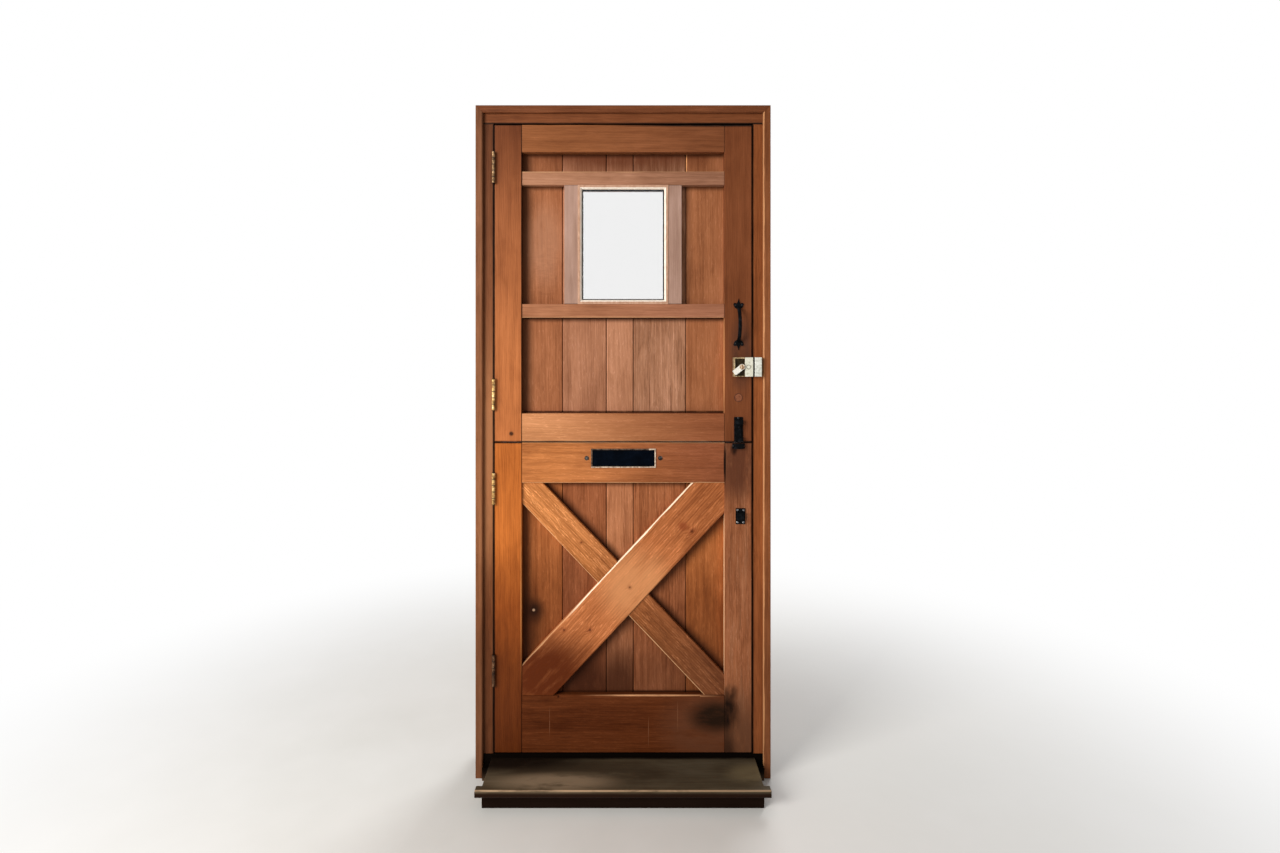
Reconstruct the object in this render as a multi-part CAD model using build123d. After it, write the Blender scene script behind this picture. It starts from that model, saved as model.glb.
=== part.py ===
from build123d import *
import math
import os

os.makedirs("parts", exist_ok=True)

# A split, framed, ledged and braced stable door in its rebated frame, in millimetres.
# X runs from the hinge side to the latch side, Y from the room to outdoors, Z up from the floor.
# X = 0 is the middle of the opening and Y = 0 the room face of the leaves.

# Door opening and gaps
LEAF_WIDTH = 813.0
LEAF_THICKNESS = 45.0
UPPER_LEAF_HEIGHT = 1000.0
LOWER_LEAF_HEIGHT = 978.0
LEAF_BOTTOM = 75.0
SIDE_GAP = 3.0
HEAD_GAP = 4.0
SPLIT_GAP = 3.0
SILL_GAP = 3.0

# Stiles, rails and ledges of the leaves
STILE_WIDTH = 86.0
TOP_RAIL_HEIGHT = 86.0
MEETING_RAIL_HEIGHT = 89.0
LETTER_RAIL_HEIGHT = 127.0
BOTTOM_RAIL_HEIGHT = 178.0
TOP_PANEL_HEIGHT = 60.0
LEDGE_HEIGHT = 43.0
WINDOW_HEIGHT = 376.0
WINDOW_WIDTH = 286.0
MUNTIN_WIDTH = 43.0
BOARD_THICKNESS = 18.0
LEDGE_SETBACK = 3.5
ARRIS = 1.5
RAIL_BEVEL = 9.0

# Joints between the timbers
TENON_SETBACK = 7.0
TENON_THICKNESS = 13.0
TENON_LENGTH = 58.0
STUB_TENON_LENGTH = 12.0
TENON_SHOULDER = 10.0
STUB_SHOULDER = 7.0
MORTICE_END_GAP = 0.5
BOARD_HOUSING = 12.0

# Tongued and grooved boards, with their joints as distances from the middle
BOARD_JOINTS = (-193.0, -53.0, 33.0, 200.5)
TONGUE_LENGTH = 7.0
TONGUE_THICKNESS = 6.0
GROOVE_CLEARANCE = 0.15
BOARD_VEE = 3.0

# Braces of the lower leaf
MAIN_BRACE_WIDTH = 140.0
MAIN_BRACE_ANGLE = 47.0
CROSS_BRACE_WIDTH = 92.0
CROSS_BRACE_ANGLE = -46.5
CROSS_BRACE_SETBACK = 8.5
BRACE_ARRIS = 3.0
BEVEL_STOP = 12.0

# Window
BEAD_WIDTH = 13.0
BEAD_PROUD = 2.0
BEAD_CHAMFER = 5.0
GLAZING_GAP = 3.0
PANE_THICKNESS = 4.0
SPACER_THICKNESS = 8.0
SPACER_WIDTH = 13.5

# Frame
FRAME_FACE = 54.0
FRAME_DEPTH = 95.0
SEAL_THICKNESS = 3.0
SEAL_WIDTH = 8.0
SEAL_INSET = 1.0
SEAL_CLEARANCE = 0.3
STOP_WIDTH = 13.0
FRAME_TENON = 30.0
COVER_WIDTH = 23.0
COVER_PROUD = 12.0
COVER_ROUND = 5.0
FIXING_HOLE_RADIUS = 4.0
FIXING_FROM_BACK = 24.0
FIXING_HEIGHTS = (250.0, 850.0, 1300.0, 1900.0)

# Sill and inner step
SILL_NOSE = 55.0
SILL_SHELF = 22.0
SILL_INNER_FACE = -3.0
SILL_SLOPE_DROP = 14.0
SILL_NOSE_HEIGHT = 46.0
DRIP_WIDTH = 8.0
DRIP_DEPTH = 6.0
DRIP_INSET = 10.0
STEP_DEPTH = 175.0
STEP_THICKNESS = 22.0
STEP_BELOW_LEAF = 14.0
STEP_WIDTH = 829.0
NOSING_WIDTH = 864.0
NOSING_DEPTH = 28.0
NOSING_ROUND = 8.0
NOSING_OVERHANG = 20.0
RISER_THICKNESS = 18.0
WEATHER_BAR_THICKNESS = 4.0
WEATHER_BAR_ABOVE = 12.0
WEATHER_BAR_SUNK = 12.0
WEATHER_BAR_GAP = 2.0

# Weatherboard on the outside of the lower leaf
WEATHERBOARD_DEPTH = 42.0
WEATHERBOARD_HEIGHT = 60.0
WEATHERBOARD_LIFT = 18.0
WEATHERBOARD_END_GAP = 8.5
WEATHERBOARD_TOP = 12.0
WEATHERBOARD_NOSE = 18.0

# Butt hinges
HINGE_LENGTH = 100.0
HINGE_FLAP_WIDTH = 30.0
HINGE_FLAP_THICKNESS = 2.5
HINGE_RECESS = 1.5
BARREL_RADIUS = 5.5
BARREL_SIDES = 16
PIN_RADIUS = 3.0
PIN_CLEARANCE = 0.05
PIN_END_INSET = 2.0
KNUCKLES = 5
KNUCKLE_GAP = 0.3
FLAP_CLEARANCE = 0.2
UPPER_LEAF_HINGE_DROP = 136.0
UPPER_LEAF_HINGE_RISE = 149.0
LOWER_LEAF_HINGE_DROP = 144.0
LOWER_LEAF_HINGE_RISE = 261.0

# Pull handle
HARDWARE_FROM_EDGE = 42.5
HANDLE_ABOVE_SPLIT = 370.0
HANDLE_SPAN = 121.0
HANDLE_BOW = 34.0
GRIP_WIDTH = 11.0
GRIP_DEPTH = 7.0
GRIP_ARRIS = 2.4
FINIAL_THICKNESS = 3.0
FINIAL_LENGTH = 21.0
FINIAL_HALF_WIDTH = 15.0
FINIAL_NECK_HALF_WIDTH = 6.75
FINIAL_NECK_HEIGHT = 4.2
FINIAL_HOLLOW = (2.5, 11.5)
FINIAL_LOBE = (12.0, 7.3)
FINIAL_ROOT_LENGTH = 11.0
FINIAL_ROOT_HOLLOW = (11.2, -7.7)
FINIAL_SCREW_INSET = 4.5

# Night latch, its knob and its keeper
LATCH_ABOVE_SPLIT = 236.0
LATCH_WIDTH = 60.0
LATCH_HEIGHT = 60.0
LATCH_DEPTH = 25.0
LATCH_BLOCK_WIDTH = 25.0
LATCH_RIM = 4.0
LATCH_RIM_DEPTH = 24.0
LATCH_BAY_FLOOR = 19.0
LATCH_EDGE_INSET = 0.5
LATCH_BOLT_HEIGHT = 26.0
LATCH_BOLT_THICKNESS = 10.0
LATCH_BOLT_LENGTH = 50.0
LATCH_BOLT_BACK = 5.0
LATCH_BOLT_BEVEL = 6.0
LATCH_CLEARANCE = 0.3
LATCH_TRAVEL = 14.0
KNOB_FROM_EDGE = 35.0
KNOB_RADIUS = 9.0
KNOB_THICKNESS = 10.0
KNOB_STAND_OFF = 0.5
KNOB_SPINDLE_RADIUS = 4.0
KNOB_TAB_WIDTH = 17.0
KNOB_TAB_LENGTH = 32.0
KNOB_TAB_THICKNESS = 4.0
KNOB_TAB_ARRIS = 2.0
KNOB_TAB_ANGLE = 38.0
LATCH_SCREW_FROM_EDGE = 13.75
LATCH_SCREW_RADIUS = 6.0
LATCH_SCREW_PROUD = 1.2
KEEPER_WIDTH = 23.0
KEEPER_SIDE_GAP = 1.5
KEEPER_POCKET_CLEARANCE = 1.5
CYLINDER_RADIUS = 15.5
CYLINDER_CLEARANCE = 0.3
CYLINDER_RING_RADIUS = 20.0
CYLINDER_RING_HEIGHT = 4.0
KEYWAY_WIDTH = 2.0
KEYWAY_HEIGHT = 9.0
KEYWAY_DEPTH = 8.0

# Bolt across the split, its keep and the spare keep below
BOLT_PLATE_WIDTH = 28.0
BOLT_PLATE_HEIGHT = 76.0
BOLT_PLATE_THICKNESS = 2.5
BOLT_PLATE_LIFT = 2.0
SHOOT_WIDTH = 15.0
SHOOT_THICKNESS = 7.0
SHOOT_STAND_OFF = 0.4
SHOOT_CLEARANCE = 0.4
SHOOT_TRAVEL = 17.0
SHOOT_KNOB_RADIUS = 5.5
SHOOT_KNOB_LENGTH = 9.0
SHOOT_NECK_RADIUS = 3.3
STRAP_HEIGHT = 13.0
STRAP_WALL = 3.5
STRAP_ARRIS = 2.4
KEEP_WIDTH = 39.0
KEEP_DROP = 2.5
KEEP_FOOT = 6.5
SPARE_KEEP_DROP = 232.0
SPARE_KEEP_FROM_EDGE = 36.5
SPARE_KEEP_WIDTH = 30.0
SPARE_KEEP_HEIGHT = 50.0
SPARE_STRAP_WIDTH = 24.0
SPARE_SCREW_SPREAD = 9.0
SPARE_SCREW_INSET = 6.0
HEAD_SIDES = 12
HEAD_SIDE_SHARE = 0.5
HEAD_SIDE_TAPER = 20.0
HEAD_CROWN_TAPER = 55.0
SCREW_HEAD_RADIUS = 3.8
SCREW_HEAD_HEIGHT = 2.2
SMALL_SCREW_RADIUS = 2.4
SMALL_SCREW_HEIGHT = 1.1
PLUG_RADIUS = 13.5
PLUG_DEPTH = 14.0
PLUG_PROUD = 0.6
PLUG_ABOVE_SPLIT = 139.0

# Letter plate through the upper rail of the lower leaf
LETTER_X = 1.0
LETTER_DROP = 49.0
SLEEVE_INNER_WIDTH = 196.0
SLEEVE_INNER_HEIGHT = 52.0
SLEEVE_WALL = 2.0
SLEEVE_RIM = 2.0
SLEEVE_RIM_PROUD = 2.5
SLEEVE_CLEARANCE = 0.3
FLAP_THICKNESS = 2.0
INNER_FLAP_SIDE_GAP = 2.0
FLAP_FOOT_GAP = 2.5
FLAP_PIN_RADIUS = 1.5
FLAP_PIN_CLEARANCE = 0.06
FLAP_PIN_DROP = 3.2
FLAP_HEAD = 1.6
OUTER_PLATE_WIDTH = 254.0
OUTER_PLATE_HEIGHT = 78.0
OUTER_PLATE_THICKNESS = 4.0
OUTER_APERTURE_WIDTH = 180.0
OUTER_APERTURE_HEIGHT = 38.0
OUTER_FLAP_GAP = 0.4
PLATE_CORNER = 5.0
STUD_SPREAD = 116.0
STUD_HEAD_RADIUS = 7.0
STUD_HEAD_HEIGHT = 5.0
STUD_RADIUS = 2.5
STUD_CLEARANCE = 0.3

# Derived places
LEAF_HALF = LEAF_WIDTH / 2
PANEL_HALF = LEAF_HALF - STILE_WIDTH
LOWER_Z0 = LEAF_BOTTOM
LOWER_Z1 = LOWER_Z0 + LOWER_LEAF_HEIGHT
UPPER_Z0 = LOWER_Z1 + SPLIT_GAP
UPPER_Z1 = UPPER_Z0 + UPPER_LEAF_HEIGHT
BOARD_FACE = LEAF_THICKNESS - BOARD_THICKNESS

TOP_RAIL_Z0 = UPPER_Z1 - TOP_RAIL_HEIGHT
LEDGE_TOP_Z1 = TOP_RAIL_Z0 - TOP_PANEL_HEIGHT
LEDGE_TOP_Z0 = LEDGE_TOP_Z1 - LEDGE_HEIGHT
LEDGE_LOW_Z1 = LEDGE_TOP_Z0 - WINDOW_HEIGHT
LEDGE_LOW_Z0 = LEDGE_LOW_Z1 - LEDGE_HEIGHT
MEETING_RAIL_Z1 = UPPER_Z0 + MEETING_RAIL_HEIGHT
LETTER_RAIL_Z0 = LOWER_Z1 - LETTER_RAIL_HEIGHT
BOTTOM_RAIL_Z1 = LOWER_Z0 + BOTTOM_RAIL_HEIGHT

WINDOW_Z = (LEDGE_TOP_Z0 + LEDGE_LOW_Z1) / 2
SIGHT_WIDTH = WINDOW_WIDTH - 2 * BEAD_WIDTH
SIGHT_HEIGHT = WINDOW_HEIGHT - 2 * BEAD_WIDTH
UNIT_THICKNESS = 2 * PANE_THICKNESS + SPACER_THICKNESS
UNIT_FACE = BOARD_FACE - UNIT_THICKNESS
UNIT_WIDTH = WINDOW_WIDTH - 2 * GLAZING_GAP
UNIT_HEIGHT = WINDOW_HEIGHT - 2 * GLAZING_GAP

JAMB_FACE = LEAF_HALF + SIDE_GAP
FRAME_HALF = JAMB_FACE + FRAME_FACE
STOP_FACE = JAMB_FACE - STOP_WIDTH
STOP_Y = LEAF_THICKNESS + SEAL_THICKNESS
HEAD_Z0 = UPPER_Z1 + HEAD_GAP
HEAD_Z1 = HEAD_Z0 + FRAME_FACE
SILL_TOP = LEAF_BOTTOM - SILL_GAP
STEP_TOP = LEAF_BOTTOM - STEP_BELOW_LEAF
STEP_UNDERSIDE = STEP_TOP - STEP_THICKNESS
FIXING_Y = FRAME_DEPTH - FIXING_FROM_BACK

PIN_X = -LEAF_HALF - SIDE_GAP / 2
PIN_Y = -BARREL_RADIUS - 0.5
UPPER_HINGES = [UPPER_Z1 - UPPER_LEAF_HINGE_DROP, UPPER_Z0 + UPPER_LEAF_HINGE_RISE]
LOWER_HINGES = [LOWER_Z1 - LOWER_LEAF_HINGE_DROP, LOWER_Z0 + LOWER_LEAF_HINGE_RISE]

HARDWARE_X = LEAF_HALF - HARDWARE_FROM_EDGE
HANDLE_Z = UPPER_Z0 + HANDLE_ABOVE_SPLIT
LATCH_Z = UPPER_Z0 + LATCH_ABOVE_SPLIT
LATCH_X1 = LEAF_HALF - LATCH_EDGE_INSET
LATCH_X0 = LATCH_X1 - LATCH_WIDTH
KNOB_X = LATCH_X1 - KNOB_FROM_EDGE
KEEPER_X0 = JAMB_FACE + KEEPER_SIDE_GAP
PLUG_Z = UPPER_Z0 + PLUG_ABOVE_SPLIT
SHOOT_Y1 = -BOLT_PLATE_THICKNESS - SHOOT_STAND_OFF
SHOOT_Y0 = SHOOT_Y1 - SHOOT_THICKNESS
STRAP_Y0 = SHOOT_Y0 - SHOOT_CLEARANCE - STRAP_WALL
BOLT_Z0 = UPPER_Z0 + BOLT_PLATE_LIFT
BOLT_Z1 = BOLT_Z0 + BOLT_PLATE_HEIGHT
KEEP_Z1 = LOWER_Z1 - KEEP_DROP
KEEP_Z0 = BOLT_Z0 - SHOOT_TRAVEL - KEEP_FOOT
SPARE_KEEP_X = LEAF_HALF - SPARE_KEEP_FROM_EDGE
SPARE_KEEP_Z = LOWER_Z1 - SPARE_KEEP_DROP

LETTER_Z = LOWER_Z1 - LETTER_DROP
SLEEVE_OUTER_WIDTH = SLEEVE_INNER_WIDTH + 2 * SLEEVE_WALL
SLEEVE_OUTER_HEIGHT = SLEEVE_INNER_HEIGHT + 2 * SLEEVE_WALL
FLAP_PIN_Z = LETTER_Z + SLEEVE_INNER_HEIGHT / 2 - FLAP_PIN_DROP
OUTER_FLAP_Y = LEAF_THICKNESS - OUTER_FLAP_GAP - FLAP_PIN_RADIUS


def block(x0, x1, y0, y1, z0, z1):
    """Straight block between two corners, given in any order along X."""
    centre = ((x0 + x1) / 2, (y0 + y1) / 2, (z0 + z1) / 2)
    return Pos(*centre) * Box(abs(x1 - x0), abs(y1 - y0), abs(z1 - z0))


def centred_block(x, width, y0, y1, z, height):
    """Block from y0 to y1 with its width and height centred on x and z."""
    return Pos(x, (y0 + y1) / 2, z) * Box(width, y1 - y0, height)


def prism_along_x(points, x0, x1):
    """Section drawn as (y, z) points and run along X."""
    face = make_face(Plane.YZ * Polyline(*points, close=True))
    return Pos(x0, 0, 0) * extrude(face, amount=x1 - x0, dir=(1, 0, 0))


def prism_along_y(points, y0, y1):
    """Outline drawn as (x, z) points and run along Y."""
    wire = Polyline(*[(x, y0, z) for x, z in points], close=True)
    return extrude(make_face(wire), amount=y1 - y0, dir=(0, 1, 0))


def prism_along_z(points, z0, z1):
    """Section drawn as (x, y) points and run along Z."""
    face = make_face(Polyline(*points, close=True))
    return Pos(0, 0, z0) * extrude(face, amount=z1 - z0, dir=(0, 0, 1))


def rod_y(radius, x, z, y0, y1):
    """Round bar along Y."""
    return Pos(x, (y0 + y1) / 2, z) * Rot(90, 0, 0) * Cylinder(radius, y1 - y0)


def rod_x(radius, y, z, x0, x1):
    """Round bar along X."""
    return Pos((x0 + x1) / 2, y, z) * Rot(0, 90, 0) * Cylinder(radius, x1 - x0)


def raised_head(radius, height, x, z, y_seat):
    """Head of a screw or stud, with a steep side and a flatter crown, standing into the room from y_seat."""
    side_height = height * HEAD_SIDE_SHARE
    side = extrude(RegularPolygon(radius, HEAD_SIDES), amount=side_height, taper=HEAD_SIDE_TAPER)
    crown = extrude(side.faces().sort_by(Axis.Z)[-1], amount=height - side_height, taper=HEAD_CROWN_TAPER)
    return Pos(x, y_seat, z) * Rot(90, 0, 0) * (side + crown)


def chamfer_long(shape, axis, size, x=None, y=None, z=None):
    """Chamfer the edges along one axis whose centres lie on the given planes."""
    edges = shape.edges().filter_by(axis)
    for value, name in ((x, "X"), (y, "Y"), (z, "Z")):
        if value is not None:
            edges = edges.filter_by(lambda e, v=value, n=name: abs(getattr(e.center(), n) - v) < 0.01)
    return chamfer(edges, size)


# Timbers of the leaves


def tenon(side, z0, z1, length, setback, shoulder):
    """One tenon of a rail, on the hinge side (-1) or the latch side (1)."""
    y0 = setback + TENON_SETBACK
    inner = side * PANEL_HALF
    outer = side * (PANEL_HALF + length)
    return block(inner, outer, y0, y0 + TENON_THICKNESS, z0 + shoulder, z1 - shoulder)


def mortice(side, z0, z1, length, setback, shoulder):
    """Pocket in a stile for a rail's tenon, a little deeper than the tenon is long."""
    return tenon(side, z0, z1, length + MORTICE_END_GAP, setback, shoulder)


def rail(z0, z1, thickness, length, setback=0.0, shoulder=TENON_SHOULDER):
    """Rail or ledge between the stiles, with a tenon at each end."""
    body = block(-PANEL_HALF, PANEL_HALF, setback, thickness, z0, z1)
    for side in (-1, 1):
        body += tenon(side, z0, z1, length, setback, shoulder)
    return body


def stile(side, z0, z1, board_top, pockets):
    """Upright of a leaf, rebated outside for the boards and morticed for the rails."""
    body = block(side * PANEL_HALF, side * LEAF_HALF, 0, LEAF_THICKNESS, z0, z1)
    body = chamfer_long(body, Axis.Z, ARRIS, y=0)
    rebate_end = side * (PANEL_HALF + BOARD_HOUSING)
    body -= block(side * PANEL_HALF, rebate_end, BOARD_FACE, LEAF_THICKNESS, z0, board_top)
    for pocket in pockets:
        body -= mortice(side, *pocket)
    return body


def hinge_recess(x0, x1, centres):
    """Sinkings for the hinge flaps in the edge of a stile or jamb."""
    half = HINGE_LENGTH / 2 + FLAP_CLEARANCE
    depth = HINGE_FLAP_WIDTH + FLAP_CLEARANCE
    return [block(x0, x1, 0, depth, z - half, z + half) for z in centres]


def cut_all(body, tools):
    """Body with each tool taken out of it."""
    for tool in tools:
        body -= tool
    return body


UPPER_BOARD_TOP = TOP_RAIL_Z0 + BOARD_HOUSING
LOWER_BOARD_TOP = LETTER_RAIL_Z0 + BOARD_HOUSING
UPPER_POCKETS = (
    (TOP_RAIL_Z0, UPPER_Z1, TENON_LENGTH, 0.0, TENON_SHOULDER),
    (LEDGE_TOP_Z0, LEDGE_TOP_Z1, STUB_TENON_LENGTH, LEDGE_SETBACK, STUB_SHOULDER),
    (LEDGE_LOW_Z0, LEDGE_LOW_Z1, STUB_TENON_LENGTH, LEDGE_SETBACK, STUB_SHOULDER),
    (UPPER_Z0, MEETING_RAIL_Z1, TENON_LENGTH, 0.0, TENON_SHOULDER),
)
LOWER_POCKETS = (
    (LETTER_RAIL_Z0, LOWER_Z1, TENON_LENGTH, 0.0, TENON_SHOULDER),
    (LOWER_Z0, BOTTOM_RAIL_Z1, TENON_LENGTH, 0.0, TENON_SHOULDER),
)


def upper_hinge_stile():
    body = stile(-1, UPPER_Z0, UPPER_Z1, UPPER_BOARD_TOP, UPPER_POCKETS)
    return cut_all(body, hinge_recess(-LEAF_HALF, -LEAF_HALF + HINGE_RECESS, UPPER_HINGES))


def lower_hinge_stile():
    body = stile(-1, LOWER_Z0, LOWER_Z1, LOWER_BOARD_TOP, LOWER_POCKETS)
    return cut_all(body, hinge_recess(-LEAF_HALF, -LEAF_HALF + HINGE_RECESS, LOWER_HINGES))


def upper_latch_stile():
    """Latch stile with the hole of the lock cylinder and an old hole that the plug fills."""
    body = stile(1, UPPER_Z0, UPPER_Z1, UPPER_BOARD_TOP, UPPER_POCKETS)
    body -= rod_y(CYLINDER_RADIUS + CYLINDER_CLEARANCE, KNOB_X, LATCH_Z, -1, LEAF_THICKNESS + 1)
    body -= rod_y(PLUG_RADIUS, HARDWARE_X, PLUG_Z, -1, PLUG_DEPTH)
    return body


def lower_latch_stile():
    return stile(1, LOWER_Z0, LOWER_Z1, LOWER_BOARD_TOP, LOWER_POCKETS)


def full_rail(z0, z1):
    """Rail of the leaf's whole thickness, rebated outside for the tops of the boards."""
    body = rail(z0, z1, LEAF_THICKNESS, TENON_LENGTH)
    return body - block(-PANEL_HALF, PANEL_HALF, BOARD_FACE, LEAF_THICKNESS, z0, z0 + BOARD_HOUSING)


def upper_top_rail():
    return chamfer_long(full_rail(TOP_RAIL_Z0, UPPER_Z1), Axis.X, ARRIS, y=0, z=TOP_RAIL_Z0)


def upper_meeting_rail():
    body = rail(UPPER_Z0, MEETING_RAIL_Z1, BOARD_FACE, TENON_LENGTH)
    return chamfer_long(body, Axis.X, ARRIS, y=0)


def window_ledge(z0, z1, muntin_edge):
    """Ledge above or below the window, with sockets for the muntins' stub tenons."""
    body = rail(z0, z1, BOARD_FACE, STUB_TENON_LENGTH, LEDGE_SETBACK, STUB_SHOULDER)
    body = chamfer_long(body, Axis.X, ARRIS, y=LEDGE_SETBACK)
    for side in (-1, 1):
        body -= muntin_stub(side, muntin_edge, STUB_TENON_LENGTH + MORTICE_END_GAP)
    return body


def muntin_stub(side, z, length):
    """Stub tenon of a muntin, from its shoulder at z into the ledge there."""
    x0 = WINDOW_WIDTH / 2 + STUB_SHOULDER
    x1 = WINDOW_WIDTH / 2 + MUNTIN_WIDTH - STUB_SHOULDER
    y0 = LEDGE_SETBACK + TENON_SETBACK
    reach = length if z > WINDOW_Z else -length
    return block(side * x0, side * x1, y0, y0 + TENON_THICKNESS, z, z + reach)


def window_muntin(side):
    """Short upright beside the window."""
    x0 = WINDOW_WIDTH / 2
    body = block(side * x0, side * (x0 + MUNTIN_WIDTH), LEDGE_SETBACK, BOARD_FACE, LEDGE_LOW_Z1, LEDGE_TOP_Z0)
    body = chamfer_long(body, Axis.Z, ARRIS, x=side * (x0 + MUNTIN_WIDTH), y=LEDGE_SETBACK)
    for z in (LEDGE_LOW_Z1, LEDGE_TOP_Z0):
        body += muntin_stub(side, z, STUB_TENON_LENGTH)
    return body


def lower_letter_rail():
    """Upper rail of the lower leaf with the letter slot and its stud holes."""
    body = chamfer_long(full_rail(LETTER_RAIL_Z0, LOWER_Z1), Axis.X, ARRIS, y=0)
    slot_width = SLEEVE_OUTER_WIDTH + 2 * SLEEVE_CLEARANCE
    slot_height = SLEEVE_OUTER_HEIGHT + 2 * SLEEVE_CLEARANCE
    body -= letter_block(slot_width, slot_height, -1, LEAF_THICKNESS + 1)
    for side in (-1, 1):
        x = LETTER_X + side * STUD_SPREAD
        body -= rod_y(STUD_RADIUS + STUD_CLEARANCE, x, LETTER_Z, -1, LEAF_THICKNESS + 1)
    return body


def lower_bottom_rail():
    """Bottom rail with a bevel on its room arris, stopped before the feet of the braces."""
    body = rail(LOWER_Z0, BOTTOM_RAIL_Z1, BOARD_FACE, TENON_LENGTH)
    x0 = brace_foot(MAIN_BRACE_WIDTH, MAIN_BRACE_ANGLE) + BEVEL_STOP
    x1 = brace_foot(CROSS_BRACE_WIDTH, CROSS_BRACE_ANGLE) - BEVEL_STOP
    corner = ((0, BOTTOM_RAIL_Z1), (0, BOTTOM_RAIL_Z1 - RAIL_BEVEL), (RAIL_BEVEL, BOTTOM_RAIL_Z1))
    return body - prism_along_x(corner, x0, x1)


def upright_board_section(index):
    """Section of one board: groove on its hinge side, tongue on its latch side, vees both faces."""
    x0 = BOARD_JOINTS[index - 1] if index > 0 else -PANEL_HALF - BOARD_HOUSING
    x1 = BOARD_JOINTS[index] if index < len(BOARD_JOINTS) else PANEL_HALF + BOARD_HOUSING
    y0, y1 = BOARD_FACE, LEAF_THICKNESS
    middle = (y0 + y1) / 2
    half_tongue = TONGUE_THICKNESS / 2
    half_groove = half_tongue + GROOVE_CLEARANCE
    groove = TONGUE_LENGTH + GROOVE_CLEARANCE
    if index < len(BOARD_JOINTS):
        latch_side = [
            (x1 - BOARD_VEE, y0), (x1, y0 + BOARD_VEE), (x1, middle - half_tongue),
            (x1 + TONGUE_LENGTH, middle - half_tongue), (x1 + TONGUE_LENGTH, middle + half_tongue),
            (x1, middle + half_tongue), (x1, y1 - BOARD_VEE), (x1 - BOARD_VEE, y1),
        ]
    else:
        latch_side = [(x1, y0), (x1, y1)]
    if index > 0:
        hinge_side = [
            (x0 + BOARD_VEE, y1), (x0, y1 - BOARD_VEE), (x0, middle + half_groove),
            (x0 + groove, middle + half_groove), (x0 + groove, middle - half_groove),
            (x0, middle - half_groove), (x0, y0 + BOARD_VEE), (x0 + BOARD_VEE, y0),
        ]
    else:
        hinge_side = [(x0, y1), (x0, y0)]
    return latch_side + hinge_side


def board(index, z0, z1):
    return prism_along_z(upright_board_section(index), z0, z1)


def window_cut():
    """Sight opening that the boards leave for the glass."""
    half_w, half_h = SIGHT_WIDTH / 2, SIGHT_HEIGHT / 2
    return block(-half_w, half_w, BOARD_FACE - 1, LEAF_THICKNESS + 1, WINDOW_Z - half_h, WINDOW_Z + half_h)


def upper_board(index):
    return board(index, UPPER_Z0, UPPER_BOARD_TOP) - window_cut()


def lower_board(index):
    return board(index, LOWER_Z0, LOWER_BOARD_TOP)


# Braces

BRACE_Z = (BOTTOM_RAIL_Z1 + LETTER_RAIL_Z0) / 2


def brace_foot(width, angle):
    """X where a brace's lower edge meets the bottom rail, on the side towards the middle."""
    slope = math.radians(angle)
    drop = BRACE_Z - BOTTOM_RAIL_Z1
    run = -drop / math.tan(slope)
    return run + math.copysign(width / 2 / math.sin(abs(slope)), slope)


def brace_strip(width, angle, y0, arris):
    """Long board laid across the middle of the braced field, before its ends are cut."""
    length = 2 * (PANEL_HALF + LETTER_RAIL_Z0 - BOTTOM_RAIL_Z1)
    strip = block(-length / 2, length / 2, y0, BOARD_FACE, -width / 2, width / 2)
    strip = chamfer_long(strip, Axis.X, arris, y=y0)
    return Pos(0, 0, BRACE_Z) * Rot(0, -angle, 0) * strip


def braced_field():
    return block(-PANEL_HALF, PANEL_HALF, 0, BOARD_FACE, BOTTOM_RAIL_Z1, LETTER_RAIL_Z0)


def brace_main():
    return brace_strip(MAIN_BRACE_WIDTH, MAIN_BRACE_ANGLE, LEDGE_SETBACK, BRACE_ARRIS) & braced_field()


def brace_cross():
    """Two half braces that butt against the main one."""
    strip = brace_strip(CROSS_BRACE_WIDTH, CROSS_BRACE_ANGLE, CROSS_BRACE_SETBACK, ARRIS) & braced_field()
    return strip - brace_strip(MAIN_BRACE_WIDTH, MAIN_BRACE_ANGLE, 0, 0.01)


# Window


def glazing_panes():
    """Two panes of the sealed unit."""
    half_w, half_h = UNIT_WIDTH / 2, UNIT_HEIGHT / 2
    starts = (UNIT_FACE, UNIT_FACE + PANE_THICKNESS + SPACER_THICKNESS)
    return Compound([
        block(-half_w, half_w, y, y + PANE_THICKNESS, WINDOW_Z - half_h, WINDOW_Z + half_h) for y in starts
    ])


def glazing_spacer():
    """Hollow rectangle between the panes."""
    y0 = UNIT_FACE + PANE_THICKNESS
    y1 = y0 + SPACER_THICKNESS
    half_w, half_h = UNIT_WIDTH / 2, UNIT_HEIGHT / 2
    outer = block(-half_w, half_w, y0, y1, WINDOW_Z - half_h, WINDOW_Z + half_h)
    half_w -= SPACER_WIDTH
    half_h -= SPACER_WIDTH
    return outer - block(-half_w, half_w, y0 - 1, y1 + 1, WINDOW_Z - half_h, WINDOW_Z + half_h)


def bead(length, reach):
    """One mitred glazing bead along the upper side of an opening, chamfered towards the glass."""
    y0 = LEDGE_SETBACK - BEAD_PROUD
    half = length / 2
    low = reach - BEAD_WIDTH
    outline = ((-half, reach), (half, reach), (half - BEAD_WIDTH, low), (-half + BEAD_WIDTH, low))
    corner = ((y0, low), (y0 + BEAD_CHAMFER, low), (y0, low + BEAD_CHAMFER))
    return prism_along_y(outline, y0, UNIT_FACE) - prism_along_x(corner, -half, half)


def glazing_beads():
    """Four beads that hold the sealed unit from the room side."""
    sides = []
    for quarter in range(4):
        if quarter % 2 == 0:
            piece = bead(WINDOW_WIDTH, WINDOW_HEIGHT / 2)
        else:
            piece = bead(WINDOW_HEIGHT, WINDOW_WIDTH / 2)
        sides.append(Pos(0, 0, WINDOW_Z) * Rot(0, 90 * quarter, 0) * piece)
    return Compound(sides)


# Frame


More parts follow.
